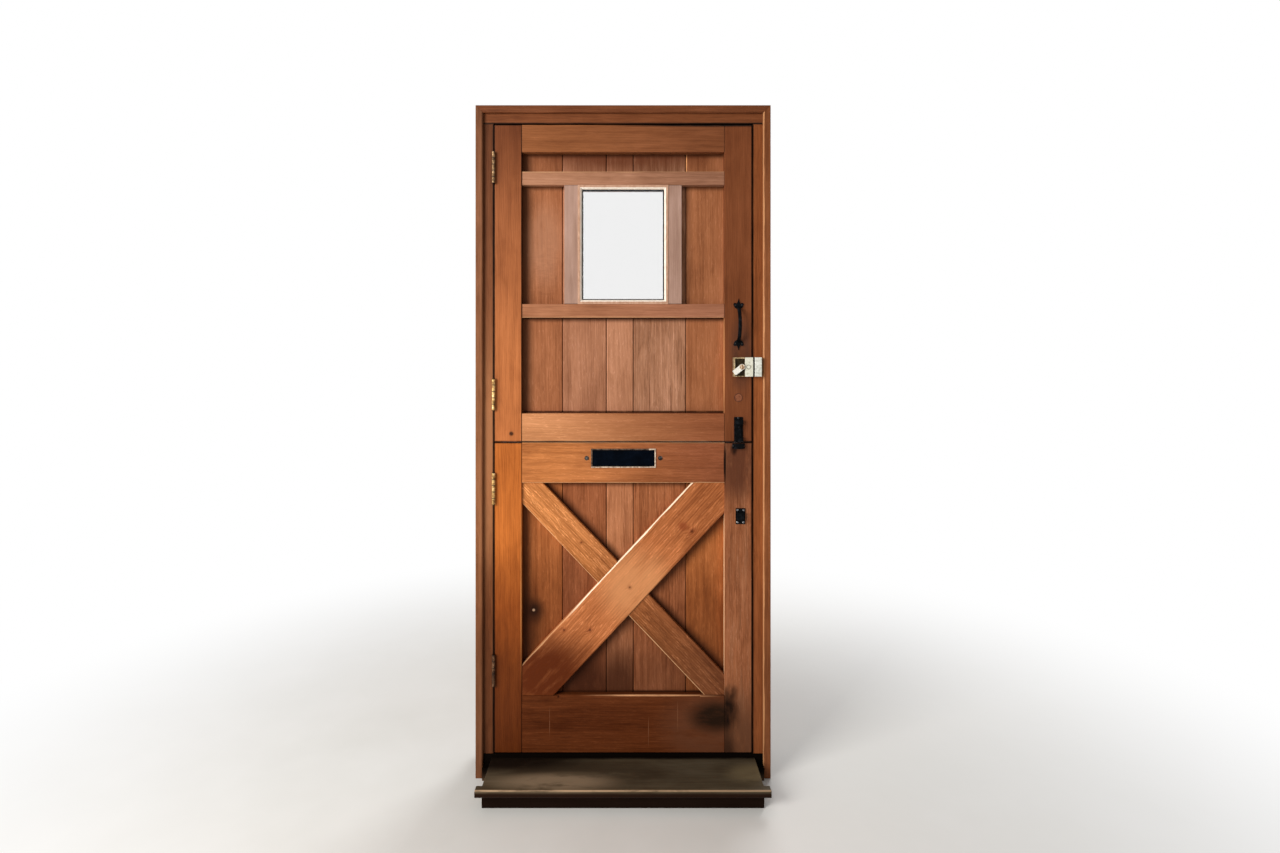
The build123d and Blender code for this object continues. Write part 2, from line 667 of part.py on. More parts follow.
def fixing_hole(x0, x1, z):
    return rod_x(FIXING_HOLE_RADIUS, FIXING_Y, z, min(x0, x1) - 1, max(x0, x1) + 1)


def jamb(side):
    """Rebated jamb with a tenon at head and foot and holes for the wall fixings."""
    section = (
        (side * JAMB_FACE, 0), (side * FRAME_HALF, 0), (side * FRAME_HALF, FRAME_DEPTH),
        (side * STOP_FACE, FRAME_DEPTH), (side * STOP_FACE, STOP_Y), (side * JAMB_FACE, STOP_Y),
    )
    body = prism_along_z(section, SILL_TOP, HEAD_Z0)
    body += frame_tenon(side, HEAD_Z0, HEAD_Z0 + FRAME_TENON)
    body += frame_tenon(side, SILL_TOP - FRAME_TENON, SILL_TOP)
    for z in FIXING_HEIGHTS:
        body -= fixing_hole(side * STOP_FACE, side * FRAME_HALF, z)
    return body


def frame_tenon(side, z0, z1):
    """Tenon of a jamb, a third of the frame's depth thick."""
    third = FRAME_DEPTH / 3
    inset = FRAME_FACE / 4
    return block(side * (JAMB_FACE + inset), side * (FRAME_HALF - inset), third, 2 * third, z0, z1)


def hinge_jamb():
    return cut_all(jamb(-1), hinge_recess(-JAMB_FACE, -JAMB_FACE - HINGE_RECESS, UPPER_HINGES + LOWER_HINGES))


def latch_jamb():
    return jamb(1)


def frame_head():
    """Head with its stop between the jambs' stops."""
    body = block(-FRAME_HALF, FRAME_HALF, 0, FRAME_DEPTH, HEAD_Z0, HEAD_Z1)
    body += block(-STOP_FACE, STOP_FACE, STOP_Y, FRAME_DEPTH, HEAD_Z0 - STOP_WIDTH, HEAD_Z0)
    for side in (-1, 1):
        body -= frame_tenon(side, HEAD_Z0, HEAD_Z0 + FRAME_TENON + MORTICE_END_GAP)
    return body


def frame_sill():
    """Weathered sill, with a shelf for the step and a groove for the weather bar."""
    nose_y = FRAME_DEPTH + SILL_NOSE
    nose_top = SILL_TOP - SILL_SLOPE_DROP
    drip_y1 = nose_y - DRIP_INSET
    drip_y0 = drip_y1 - DRIP_WIDTH
    nose_foot = nose_top - SILL_NOSE_HEIGHT
    section = (
        (SILL_INNER_FACE - SILL_SHELF, 0), (FRAME_DEPTH, 0), (FRAME_DEPTH, nose_foot),
        (drip_y0, nose_foot), (drip_y0, nose_foot + DRIP_DEPTH), (drip_y1, nose_foot + DRIP_DEPTH),
        (drip_y1, nose_foot), (nose_y, nose_foot), (nose_y, nose_top), (FRAME_DEPTH, SILL_TOP),
        (SILL_INNER_FACE, SILL_TOP), (SILL_INNER_FACE, STEP_UNDERSIDE),
        (SILL_INNER_FACE - SILL_SHELF, STEP_UNDERSIDE),
    )
    body = prism_along_x(section, -FRAME_HALF, FRAME_HALF)
    body -= weather_bar()
    for side in (-1, 1):
        body -= frame_tenon(side, SILL_TOP - FRAME_TENON - MORTICE_END_GAP, SILL_TOP)
        body -= cover_seat(side)
    return body


def cover_seat(side):
    """Notch at each end of the sill's shelf, where the cover strip runs down to the floor."""
    x0 = side * (FRAME_HALF - COVER_WIDTH)
    return block(x0, side * FRAME_HALF, -COVER_PROUD - SILL_SHELF, 0, 0, SILL_TOP)


def weather_bar():
    """Flat bar let into the sill, just outside the closed leaf."""
    y0 = LEAF_THICKNESS + WEATHER_BAR_GAP
    z0 = SILL_TOP - WEATHER_BAR_SUNK
    return block(-STOP_FACE, STOP_FACE, y0, y0 + WEATHER_BAR_THICKNESS, z0, SILL_TOP + WEATHER_BAR_ABOVE)


def weather_seal():
    """Three lengths of soft seal on the stops, just clear of the closed leaves."""
    inner = STOP_FACE + SEAL_INSET
    outer = inner + SEAL_WIDTH
    y0 = LEAF_THICKNESS + SEAL_CLEARANCE
    z1 = HEAD_Z0 - STOP_WIDTH + SEAL_INSET
    lengths = [block(side * inner, side * outer, y0, STOP_Y, SILL_TOP, z1) for side in (-1, 1)]
    lengths.append(block(-outer, outer, y0, STOP_Y, z1, z1 + SEAL_WIDTH))
    return Compound(lengths)


def cover_strip(points, round_axis, x=None, z=None):
    """Mitred strip on the room face of the frame, rounded on its inner arris."""
    body = prism_along_y(points, -COVER_PROUD, 0)
    edges = body.edges().filter_by(round_axis)
    edges = edges.filter_by(lambda e: abs(e.center().Y + COVER_PROUD) < 0.01)
    if x is not None:
        edges = edges.filter_by(lambda e: abs(e.center().X - x) < 0.01)
    if z is not None:
        edges = edges.filter_by(lambda e: abs(e.center().Z - z) < 0.01)
    return fillet(edges, COVER_ROUND)


def side_cover_strip(side):
    inner = FRAME_HALF - COVER_WIDTH
    outline = (
        (side * inner, 0), (side * FRAME_HALF, 0),
        (side * FRAME_HALF, HEAD_Z1), (side * inner, HEAD_Z1 - COVER_WIDTH),
    )
    return cover_strip(outline, Axis.Z, x=side * inner)


def head_cover_strip():
    inner = FRAME_HALF - COVER_WIDTH
    low = HEAD_Z1 - COVER_WIDTH
    outline = ((-inner, low), (inner, low), (FRAME_HALF, HEAD_Z1), (-FRAME_HALF, HEAD_Z1))
    return cover_strip(outline, Axis.X, z=low)


def tread_board():
    """Inner step board with a rounded nosing that runs past it at both ends."""
    front = SILL_INNER_FACE - STEP_DEPTH
    outline = [(STEP_WIDTH / 2, SILL_INNER_FACE), (STEP_WIDTH / 2, front + NOSING_DEPTH)]
    outline += [(NOSING_WIDTH / 2, front + NOSING_DEPTH), (NOSING_WIDTH / 2, front)]
    outline += [(-x, y) for x, y in reversed(outline)]
    body = prism_along_z(outline, STEP_UNDERSIDE, STEP_TOP)
    edges = body.edges().filter_by(Axis.X)
    edges = edges.filter_by(lambda e: abs(e.center().Y - front) < 0.01)
    return fillet(edges, NOSING_ROUND)


def tread_riser():
    """Board under the nosing, from the floor to the step."""
    y0 = SILL_INNER_FACE - STEP_DEPTH + NOSING_OVERHANG
    return block(-STEP_WIDTH / 2, STEP_WIDTH / 2, y0, y0 + RISER_THICKNESS, 0, STEP_UNDERSIDE)


def weatherboard():
    """Moulded board that throws rain clear of the sill."""
    y0 = LEAF_THICKNESS
    y1 = y0 + WEATHERBOARD_DEPTH
    z0 = LEAF_BOTTOM + WEATHERBOARD_LIFT
    z1 = z0 + WEATHERBOARD_HEIGHT
    drip_y1 = y1 - DRIP_INSET
    drip_y0 = drip_y1 - DRIP_WIDTH
    nose_top = z0 + WEATHERBOARD_NOSE
    lines = [
        Polyline((y0, z0), (drip_y0, z0), (drip_y0, z0 + DRIP_DEPTH), (drip_y1, z0 + DRIP_DEPTH)),
        Polyline((drip_y1, z0 + DRIP_DEPTH), (drip_y1, z0), (y1, z0), (y1, nose_top)),
        SagittaArc((y1, nose_top), (y0 + WEATHERBOARD_TOP, z1), WEATHERBOARD_TOP / 2),
        Polyline((y0 + WEATHERBOARD_TOP, z1), (y0, z1), (y0, z0)),
    ]
    half = STOP_FACE - WEATHERBOARD_END_GAP
    face = make_face(Plane.YZ * Curve(children=lines))
    return Pos(-half, 0, 0) * extrude(face, amount=2 * half, dir=(1, 0, 0))


# Hinges


def knuckle_spans(centre, own):
    """Heights of every second knuckle, from the first (0) or the second (1)."""
    pitch = HINGE_LENGTH / KNUCKLES
    bottom = centre - HINGE_LENGTH / 2
    spans = []
    for index in range(own, KNUCKLES, 2):
        low = bottom + index * pitch + (KNUCKLE_GAP / 2 if index > 0 else 0)
        high = bottom + (index + 1) * pitch - (KNUCKLE_GAP / 2 if index < KNUCKLES - 1 else 0)
        spans.append((low, high))
    return spans


def hinge_flap(centre, side, own):
    """Flap and knuckles of one side of a butt hinge: frame side -1, leaf side 1."""
    inner = PIN_X + side * (SIDE_GAP / 2 + HINGE_RECESS)
    outer = inner - side * HINGE_FLAP_THICKNESS
    half = HINGE_LENGTH / 2
    body = block(inner, outer, 0, HINGE_FLAP_WIDTH, centre - half, centre + half)
    ring = RegularPolygon(BARREL_RADIUS, BARREL_SIDES)
    for low, high in knuckle_spans(centre, own):
        body += block(inner, outer, PIN_Y, 0, low, high)
        body += Pos(PIN_X, PIN_Y, low) * extrude(ring, amount=high - low)
    return body


def hinge_frame_leaves():
    """Frame halves of the four hinges, each with its pin fixed in the knuckles."""
    flaps = []
    for z in UPPER_HINGES + LOWER_HINGES:
        pin = Pos(PIN_X, PIN_Y, z) * Cylinder(PIN_RADIUS, HINGE_LENGTH - 2 * PIN_END_INSET)
        flaps.append(hinge_flap(z, -1, 0) + pin)
    return Compound(flaps)


def hinge_leaf_leaves(centres):
    """Leaf halves of the hinges, with knuckles bored for the pins."""
    flaps = []
    for z in centres:
        bore = Pos(PIN_X, PIN_Y, z) * Cylinder(PIN_RADIUS + PIN_CLEARANCE, HINGE_LENGTH + 2)
        flaps.append(hinge_flap(z, 1, 1) - bore)
    return Compound(flaps)


# Pull handle


def finial(direction):
    """Pointed end plate with a lobe to each side; direction 1 points up, -1 down."""
    tip = (0, FINIAL_LENGTH)
    neck = (FINIAL_NECK_HALF_WIDTH, FINIAL_NECK_HEIGHT)
    side = (FINIAL_HALF_WIDTH, 0)
    root = (GRIP_WIDTH / 2, -FINIAL_ROOT_LENGTH)
    outline = [
        ThreePointArc(tip, FINIAL_HOLLOW, neck),
        ThreePointArc(neck, FINIAL_LOBE, side),
        ThreePointArc(side, FINIAL_ROOT_HOLLOW, root),
        Polyline(root, (0, -FINIAL_ROOT_LENGTH), tip),
    ]
    right = extrude(make_face(outline), amount=FINIAL_THICKNESS)
    plate = Rot(90, 0, 0) * (right + mirror(right, about=Plane.YZ))
    if direction < 0:
        plate = Rot(0, 180, 0) * plate
    return Pos(HARDWARE_X, 0, HANDLE_Z + direction * HANDLE_SPAN / 2) * plate


def pull_handle():
    """Bowed grip swept between two pointed end plates."""
    foot = HANDLE_SPAN / 2 - GRIP_WIDTH / 2
    depth = FINIAL_THICKNESS / 2
    ends = [(HARDWARE_X, -depth, HANDLE_Z - foot), (HARDWARE_X, -depth, HANDLE_Z + foot)]
    path = ThreePointArc(ends[0], (HARDWARE_X, -HANDLE_BOW, HANDLE_Z), ends[1])
    section = chamfer(Rectangle(GRIP_WIDTH, GRIP_DEPTH).vertices(), GRIP_ARRIS)
    grip = sweep(Plane(origin=ends[0], x_dir=(1, 0, 0), z_dir=path % 0) * section, path=path)
    body = finial(1) + finial(-1) + grip
    return body - centred_block(HARDWARE_X, 2 * GRIP_WIDTH, 0, GRIP_WIDTH, HANDLE_Z, 4 * foot)


# Night latch


def latch_bolt_space(clearance):
    """Room that the latch bolt slides in, open through the edge of the case."""
    half = LATCH_BOLT_HEIGHT / 2 + clearance
    y1 = -LATCH_BOLT_BACK + clearance
    y0 = y1 - LATCH_BOLT_THICKNESS - 2 * clearance
    x0 = LATCH_X1 - LATCH_BOLT_LENGTH - clearance
    return block(x0, LATCH_X1 + 1, y0, y1, LATCH_Z - half, LATCH_Z + half)


def latch_case():
    """Case with a sunk bay behind the knob and a raised block at the leaf's edge."""
    half = LATCH_HEIGHT / 2
    block_x = LATCH_X1 - LATCH_BLOCK_WIDTH
    body = block(LATCH_X0, block_x, -LATCH_RIM_DEPTH, 0, LATCH_Z - half, LATCH_Z + half)
    bay = (LATCH_X0 + LATCH_RIM, block_x, -LATCH_DEPTH - 1, -LATCH_BAY_FLOOR)
    body -= block(*bay, LATCH_Z - half + LATCH_RIM / 2, LATCH_Z + half - LATCH_RIM)
    body += block(block_x, LATCH_X1, -LATCH_DEPTH, 0, LATCH_Z - half, LATCH_Z + half)
    screw_x = LATCH_X1 - LATCH_SCREW_FROM_EDGE
    body += raised_head(LATCH_SCREW_RADIUS, LATCH_SCREW_PROUD, screw_x, LATCH_Z, -LATCH_DEPTH)
    body -= latch_bolt_space(LATCH_CLEARANCE)
    hole = KNOB_SPINDLE_RADIUS + PIN_CLEARANCE
    return body - rod_y(hole, KNOB_X, LATCH_Z, -LATCH_DEPTH - 1, -LATCH_BOLT_BACK - LATCH_BOLT_THICKNESS)


def latch_bolt():
    """Sliding bolt with its nose bevelled on the side that meets the keeper, drawn back."""
    half = LATCH_BOLT_HEIGHT / 2
    y1 = -LATCH_BOLT_BACK
    y0 = y1 - LATCH_BOLT_THICKNESS
    x0 = LATCH_X1 - LATCH_BOLT_LENGTH
    bevel = LATCH_BOLT_BEVEL
    outline = ((x0, y0), (LATCH_X1, y0), (LATCH_X1, y1 - bevel), (LATCH_X1 - bevel, y1), (x0, y1))
    return prism_along_z(outline, LATCH_Z - half, LATCH_Z + half)


def latch_knob():
    """Turn with a round boss, a flat tab and a spindle into the case."""
    seat = -LATCH_BAY_FLOOR - KNOB_STAND_OFF
    face = seat - KNOB_THICKNESS
    inner_end = -LATCH_BOLT_BACK - LATCH_BOLT_THICKNESS - KNOB_STAND_OFF
    boss = rod_y(KNOB_RADIUS, 0, 0, face, seat)
    tab_y1 = face + KNOB_THICKNESS / 2
    tab_y0 = tab_y1 - KNOB_TAB_THICKNESS
    tab = centred_block(-KNOB_TAB_LENGTH / 2, KNOB_TAB_LENGTH, tab_y0, tab_y1, 0, KNOB_TAB_WIDTH)
    tab = chamfer(tab.edges().filter_by(Axis.Y).group_by(Axis.X)[0], KNOB_TAB_ARRIS)
    body = boss + tab + rod_y(KNOB_SPINDLE_RADIUS, 0, 0, seat, inner_end)
    return Pos(KNOB_X, 0, LATCH_Z) * Rot(0, -KNOB_TAB_ANGLE, 0) * body


def latch_keeper():
    """Box keeper on the jamb, open towards the leaf for the latch bolt."""
    half = LATCH_HEIGHT / 2
    x1 = KEEPER_X0 + KEEPER_WIDTH
    body = block(KEEPER_X0, x1, -LATCH_DEPTH, 0, LATCH_Z - half, LATCH_Z + half)
    body = chamfer_long(body, Axis.Z, ARRIS, y=-LATCH_DEPTH)
    pocket_half = LATCH_BOLT_HEIGHT / 2 + KEEPER_POCKET_CLEARANCE
    y1 = -LATCH_BOLT_BACK + KEEPER_POCKET_CLEARANCE
    y0 = y1 - LATCH_BOLT_THICKNESS - 2 * KEEPER_POCKET_CLEARANCE
    pocket_x1 = LATCH_X1 + LATCH_TRAVEL + 2 * KEEPER_POCKET_CLEARANCE
    return body - block(KEEPER_X0 - 1, pocket_x1, y0, y1, LATCH_Z - pocket_half, LATCH_Z + pocket_half)


def rim_cylinder():
    """Lock cylinder through the stile, with its ring and keyway outside."""
    face = LEAF_THICKNESS + CYLINDER_RING_HEIGHT
    body = rod_y(CYLINDER_RADIUS, KNOB_X, LATCH_Z, 0, face)
    ring = rod_y(CYLINDER_RING_RADIUS, KNOB_X, LATCH_Z, LEAF_THICKNESS, face)
    keyway = centred_block(KNOB_X, KEYWAY_WIDTH, face - KEYWAY_DEPTH, face + 1, LATCH_Z, KEYWAY_HEIGHT)
    return body + ring - keyway


def filled_hole_plug():
    return rod_y(PLUG_RADIUS, HARDWARE_X, PLUG_Z, -PLUG_PROUD, PLUG_DEPTH)


# Bolt across the split


def shoot_space(x, z0, z1):
    """Room for the flat bolt inside a strap or keep."""
    half = SHOOT_WIDTH / 2 + SHOOT_CLEARANCE
    return block(x - half, x + half, SHOOT_Y0 - SHOOT_CLEARANCE, -BOLT_PLATE_THICKNESS, z0, z1)


def strap(z0, z1, width, x=HARDWARE_X):
    """Strap that bridges the flat bolt."""
    half = width / 2
    body = block(x - half, x + half, STRAP_Y0, -BOLT_PLATE_THICKNESS, z0, z1)
    body = chamfer_long(body, Axis.Z, STRAP_ARRIS, y=STRAP_Y0)
    return body - shoot_space(x, z0 - 1, z1 + 1)


def bolt_barrel():
    """Back plate with a strap near each end."""
    half = BOLT_PLATE_WIDTH / 2
    body = block(HARDWARE_X - half, HARDWARE_X + half, -BOLT_PLATE_THICKNESS, 0, BOLT_Z0, BOLT_Z1)
    inset = SCREW_HEAD_RADIUS * 2 + 2
    body += strap(BOLT_Z0, BOLT_Z0 + STRAP_HEIGHT, BOLT_PLATE_WIDTH)
    body += strap(BOLT_Z1 - inset - STRAP_HEIGHT, BOLT_Z1 - inset, BOLT_PLATE_WIDTH)
    return body


def bolt_shoot():
    """Flat bolt with its knob, drawn up into the upper leaf."""
    half = SHOOT_WIDTH / 2
    top = BOLT_Z1 - SCREW_HEAD_RADIUS * 2
    body = block(HARDWARE_X - half, HARDWARE_X + half, SHOOT_Y0, SHOOT_Y1, BOLT_Z0, top)
    knob_z = top - STRAP_HEIGHT - SHOOT_KNOB_RADIUS * 2
    neck_length = SHOOT_KNOB_LENGTH / 2
    neck_y = SHOOT_Y0 - neck_length
    neck = rod_y(SHOOT_NECK_RADIUS, HARDWARE_X, knob_z, neck_y, SHOOT_Y0)
    return body + neck + raised_head(SHOOT_KNOB_RADIUS, neck_length, HARDWARE_X, knob_z, neck_y)


def bolt_keeps():
    """Keep under the split and a spare keep lower on the stile."""
    height = KEEP_Z1 - KEEP_Z0
    keep = centred_block(HARDWARE_X, KEEP_WIDTH, -BOLT_PLATE_THICKNESS, 0, (KEEP_Z0 + KEEP_Z1) / 2, height)
    keep += strap(KEEP_Z0, KEEP_Z1, BOLT_PLATE_WIDTH)
    x, z = SPARE_KEEP_X, SPARE_KEEP_Z
    half = SPARE_KEEP_HEIGHT / 2 - 2 * SPARE_SCREW_INSET
    spare = centred_block(x, SPARE_KEEP_WIDTH, -BOLT_PLATE_THICKNESS, 0, z, SPARE_KEEP_HEIGHT)
    spare += strap(z - half, z + half, SPARE_STRAP_WIDTH, x)
    return Compound([keep, spare])


def upper_leaf_screws():
    """Round heads at the top of the bolt and on the handle's end plates."""
    z = BOLT_Z1 - SCREW_HEAD_RADIUS
    screws = [raised_head(SCREW_HEAD_RADIUS, SCREW_HEAD_HEIGHT, HARDWARE_X, z, -BOLT_PLATE_THICKNESS)]
    for end in (-1, 1):
        for side in (-1, 1):
            x = HARDWARE_X + side * (FINIAL_HALF_WIDTH - FINIAL_SCREW_INSET)
            z = HANDLE_Z + end * HANDLE_SPAN / 2
            screws.append(raised_head(SMALL_SCREW_RADIUS, SMALL_SCREW_HEIGHT, x, z, -FINIAL_THICKNESS))
    return Compound(screws)


def lower_leaf_screws():
    """Four round heads on the spare keep and two on the keep under the split."""
    screws = []
    for side in (-1, 1):
        for end in (-1, 1):
            x = SPARE_KEEP_X + side * SPARE_SCREW_SPREAD
            z = SPARE_KEEP_Z + end * (SPARE_KEEP_HEIGHT / 2 - SPARE_SCREW_INSET)
            screws.append(raised_head(SCREW_HEAD_RADIUS, SCREW_HEAD_HEIGHT, x, z, -BOLT_PLATE_THICKNESS))
        x = HARDWARE_X + side * (KEEP_WIDTH + BOLT_PLATE_WIDTH) / 4
        z = (KEEP_Z0 + KEEP_Z1) / 2
        screws.append(raised_head(SMALL_SCREW_RADIUS, SMALL_SCREW_HEIGHT, x, z, -BOLT_PLATE_THICKNESS))
    return Compound(screws)


# Letter plate


def letter_block(width, height, y0, y1):
    """Block centred on the letter plate."""
    return centred_block(LETTER_X, width, y0, y1, LETTER_Z, height)


def letter_sleeve():
    """Sleeve through the rail with a narrow rim on the room side and bearings for both flaps."""
    rim_w = SLEEVE_OUTER_WIDTH + 2 * SLEEVE_RIM
    rim_h = SLEEVE_OUTER_HEIGHT + 2 * SLEEVE_RIM
    body = letter_block(rim_w, rim_h, -SLEEVE_RIM_PROUD, 0)
    body += letter_block(SLEEVE_OUTER_WIDTH, SLEEVE_OUTER_HEIGHT, 0, LEAF_THICKNESS)
    body -= letter_block(SLEEVE_INNER_WIDTH, SLEEVE_INNER_HEIGHT, -SLEEVE_RIM_PROUD - 1, LEAF_THICKNESS + 1)
    half = SLEEVE_OUTER_WIDTH / 2 + SLEEVE_RIM + 1
    for y in (0, OUTER_FLAP_Y):
        body -= rod_x(FLAP_PIN_RADIUS + FLAP_PIN_CLEARANCE, y, FLAP_PIN_Z, LETTER_X - half, LETTER_X + half)
    return body


def letter_flap(y):
    """Flap that hangs from a pivot near the top of the sleeve."""
    half = SLEEVE_INNER_WIDTH / 2 - INNER_FLAP_SIDE_GAP
    z0 = LETTER_Z - SLEEVE_INNER_HEIGHT / 2 + FLAP_FOOT_GAP
    z1 = FLAP_PIN_Z + FLAP_HEAD
    y0, y1 = y - FLAP_THICKNESS / 2, y + FLAP_THICKNESS / 2
    body = block(LETTER_X - half, LETTER_X + half, y0, y1, z0, z1)
    reach = SLEEVE_INNER_WIDTH / 2 + SLEEVE_WALL - FLAP_CLEARANCE
    return body + rod_x(FLAP_PIN_RADIUS, y, FLAP_PIN_Z, LETTER_X - reach, LETTER_X + reach)


def letter_outer_plate():
    """Plate outside, with a rounded aperture that the outer flap closes from behind."""
    y0 = LEAF_THICKNESS
    y1 = y0 + OUTER_PLATE_THICKNESS
    body = letter_block(OUTER_PLATE_WIDTH, OUTER_PLATE_HEIGHT, y0, y1)
    body = fillet(body.edges().filter_by(Axis.Y), PLATE_CORNER)
    hole = letter_block(OUTER_APERTURE_WIDTH, OUTER_APERTURE_HEIGHT, y0 - 1, y1 + 1)
    return body - fillet(hole.edges().filter_by(Axis.Y), PLATE_CORNER)


def letter_studs():
    """Domed studs that draw the outer plate on from the room side."""
    studs = []
    for side in (-1, 1):
        x = LETTER_X + side * STUD_SPREAD
        head = raised_head(STUD_HEAD_RADIUS, STUD_HEAD_HEIGHT, x, LETTER_Z, 0)
        studs.append(head + rod_y(STUD_RADIUS, x, LETTER_Z, 0, LEAF_THICKNESS))
    return Compound(studs)


pieces = {
    "frame_head": frame_head(),
    "hinge_jamb": hinge_jamb(),
    "latch_jamb": latch_jamb(),
    "frame_sill": frame_sill(),
    "cover_strip_head": head_cover_strip(),
    "cover_strip_hinge_side": side_cover_strip(-1),
    "cover_strip_latch_side": side_cover_strip(1),
    "weather_seal": weather_seal(),
    "weather_bar": weather_bar(),
    "tread_board": tread_board(),
    "tread_riser": tread_riser(),
    "hinge_frame_leaves": hinge_frame_leaves(),
    "latch_keeper": latch_keeper(),
    "upper_hinge_stile": upper_hinge_stile(),
    "upper_latch_stile": upper_latch_stile(),
    "upper_top_rail": upper_top_rail(),
    "upper_meeting_rail": upper_meeting_rail(),
    "window_ledge_upper": window_ledge(LEDGE_TOP_Z0, LEDGE_TOP_Z1, LEDGE_TOP_Z0),
    "window_ledge_lower": window_ledge(LEDGE_LOW_Z0, LEDGE_LOW_Z1, LEDGE_LOW_Z1),
    "window_muntin_hinge_side": window_muntin(-1),
    "window_muntin_latch_side": window_muntin(1),
    "glazing_panes": glazing_panes(),
    "glazing_spacer": glazing_spacer(),
    "glazing_beads": glazing_beads(),
    "hinge_leaves_upper": hinge_leaf_leaves(UPPER_HINGES),
    "pull_handle": pull_handle(),
    "latch_case": latch_case(),
    "rim_cylinder": rim_cylinder(),
    "filled_hole_plug": filled_hole_plug(),
    "bolt_barrel": bolt_barrel(),
    "upper_leaf_screws": upper_leaf_screws(),
    "latch_bolt": latch_bolt(),
    "latch_knob": latch_knob(),
    "bolt_shoot": bolt_shoot(),
    "lower_hinge_stile": lower_hinge_stile(),
    "lower_latch_stile": lower_latch_stile(),
    "lower_letter_rail": lower_letter_rail(),
    "lower_bottom_rail": lower_bottom_rail(),
    "brace_main": brace_main(),
    "brace_cross": brace_cross(),
    "weatherboard": weatherboard(),
    "hinge_leaves_lower": hinge_leaf_leaves(LOWER_HINGES),
    "letter_sleeve": letter_sleeve(),
    "letter_outer_plate": letter_outer_plate(),
    "letter_studs": letter_studs(),
    "letter_flap_inner": letter_flap(0),
    "letter_flap_outer": letter_flap(OUTER_FLAP_Y),
    "bolt_keeps": bolt_keeps(),
    "lower_leaf_screws": lower_leaf_screws(),
}
for number in range(len(BOARD_JOINTS) + 1):
    pieces[f"upper_board_{number + 1}"] = upper_board(number)
    pieces[f"lower_board_{number + 1}"] = lower_board(number)

for name, shape in pieces.items():
    export_step(shape, f"parts/{name}.step")
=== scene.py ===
import math
import random

import bmesh
import bpy
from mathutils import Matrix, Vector


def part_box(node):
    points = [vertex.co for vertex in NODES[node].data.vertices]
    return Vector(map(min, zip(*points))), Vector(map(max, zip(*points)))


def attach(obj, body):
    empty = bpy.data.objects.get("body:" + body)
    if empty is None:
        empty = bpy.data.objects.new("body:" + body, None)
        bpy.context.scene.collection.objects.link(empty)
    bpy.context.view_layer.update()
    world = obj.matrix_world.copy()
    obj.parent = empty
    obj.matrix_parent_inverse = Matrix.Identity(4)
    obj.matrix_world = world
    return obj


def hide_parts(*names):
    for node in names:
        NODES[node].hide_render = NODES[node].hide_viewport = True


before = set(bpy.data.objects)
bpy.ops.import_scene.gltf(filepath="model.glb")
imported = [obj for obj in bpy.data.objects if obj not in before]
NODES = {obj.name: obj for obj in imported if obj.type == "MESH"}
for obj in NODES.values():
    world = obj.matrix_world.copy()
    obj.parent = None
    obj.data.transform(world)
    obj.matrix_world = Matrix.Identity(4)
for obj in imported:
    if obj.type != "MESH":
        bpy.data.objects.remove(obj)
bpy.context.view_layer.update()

# Places of the door in metres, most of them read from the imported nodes


def low(node, axis):
    """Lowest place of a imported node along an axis."""
    return round(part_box(node)[0]["XYZ".index(axis)], 6)


def high(node, axis):
    """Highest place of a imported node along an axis."""
    return round(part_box(node)[1]["XYZ".index(axis)], 6)


def middle(node, axis):
    """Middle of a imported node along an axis."""
    return (low(node, axis) + high(node, axis)) / 2


SIDE_GAP = 0.003
HEAD_GAP = 0.004
BEAD_WIDTH = 0.013
LATCH_RIM = 0.004
LATCH_BLOCK = 0.025
KNOB_FROM_EDGE = 0.035
PANEL_X = low("lower_latch_stile", "X")
LEAF_X = high("lower_latch_stile", "X")
JAMB_X = LEAF_X + SIDE_GAP
BOARD_JOINTS = tuple(low(f"upper_board_{number}", "X") for number in range(2, 6))
BOARD_FACE = low("upper_board_1", "Y")
LOWER_TOP = high("lower_latch_stile", "Z")
UPPER_FOOT = low("upper_latch_stile", "Z")
UPPER_TOP = high("upper_latch_stile", "Z")
HEAD_FOOT = UPPER_TOP + HEAD_GAP
LOW_LEDGE_FOOT = low("window_ledge_lower", "Z")
LOW_LEDGE_TOP = high("window_ledge_lower", "Z")
TOP_LEDGE_FOOT = low("window_ledge_upper", "Z")
BOTTOM_RAIL_TOP = high("lower_bottom_rail", "Z")
LETTER_RAIL_FOOT = low("lower_letter_rail", "Z")
MEETING_RAIL_TOP = high("upper_meeting_rail", "Z")
TOP_RAIL_FOOT = low("upper_top_rail", "Z")
WINDOW_Z = middle("glazing_beads", "Z")
SIGHT_X = high("glazing_beads", "X") - BEAD_WIDTH
SIGHT_Z = high("glazing_beads", "Z") - WINDOW_Z - BEAD_WIDTH
HARDWARE_X = middle("filled_hole_plug", "X")
PLUG_Z = middle("filled_hole_plug", "Z")
LATCH_Z = middle("latch_case", "Z")
CASE_X = low("latch_case", "X")
BLOCK_X = high("latch_case", "X") - LATCH_BLOCK
KNOB_X = high("latch_case", "X") - KNOB_FROM_EDGE
LETTER_FOOT = low("letter_sleeve", "Z")
MAIN_BRACE_ANGLE = 47.0
CROSS_BRACE_ANGLE = -46.5
UPRIGHT = 90.0
LEVEL = 0.0


# Objects and camera

CAMERA_PLACE = (0.006, -2.21, 1.314)
CAMERA_LENS = 19.69
CAMERA_SENSOR = 36.0
CAMERA_SHIFT = (0.0117, -0.052)


def add_object(name, data):
    """New object in the scene."""
    made = bpy.data.objects.new(name, data)
    bpy.context.scene.collection.objects.link(made)
    return made


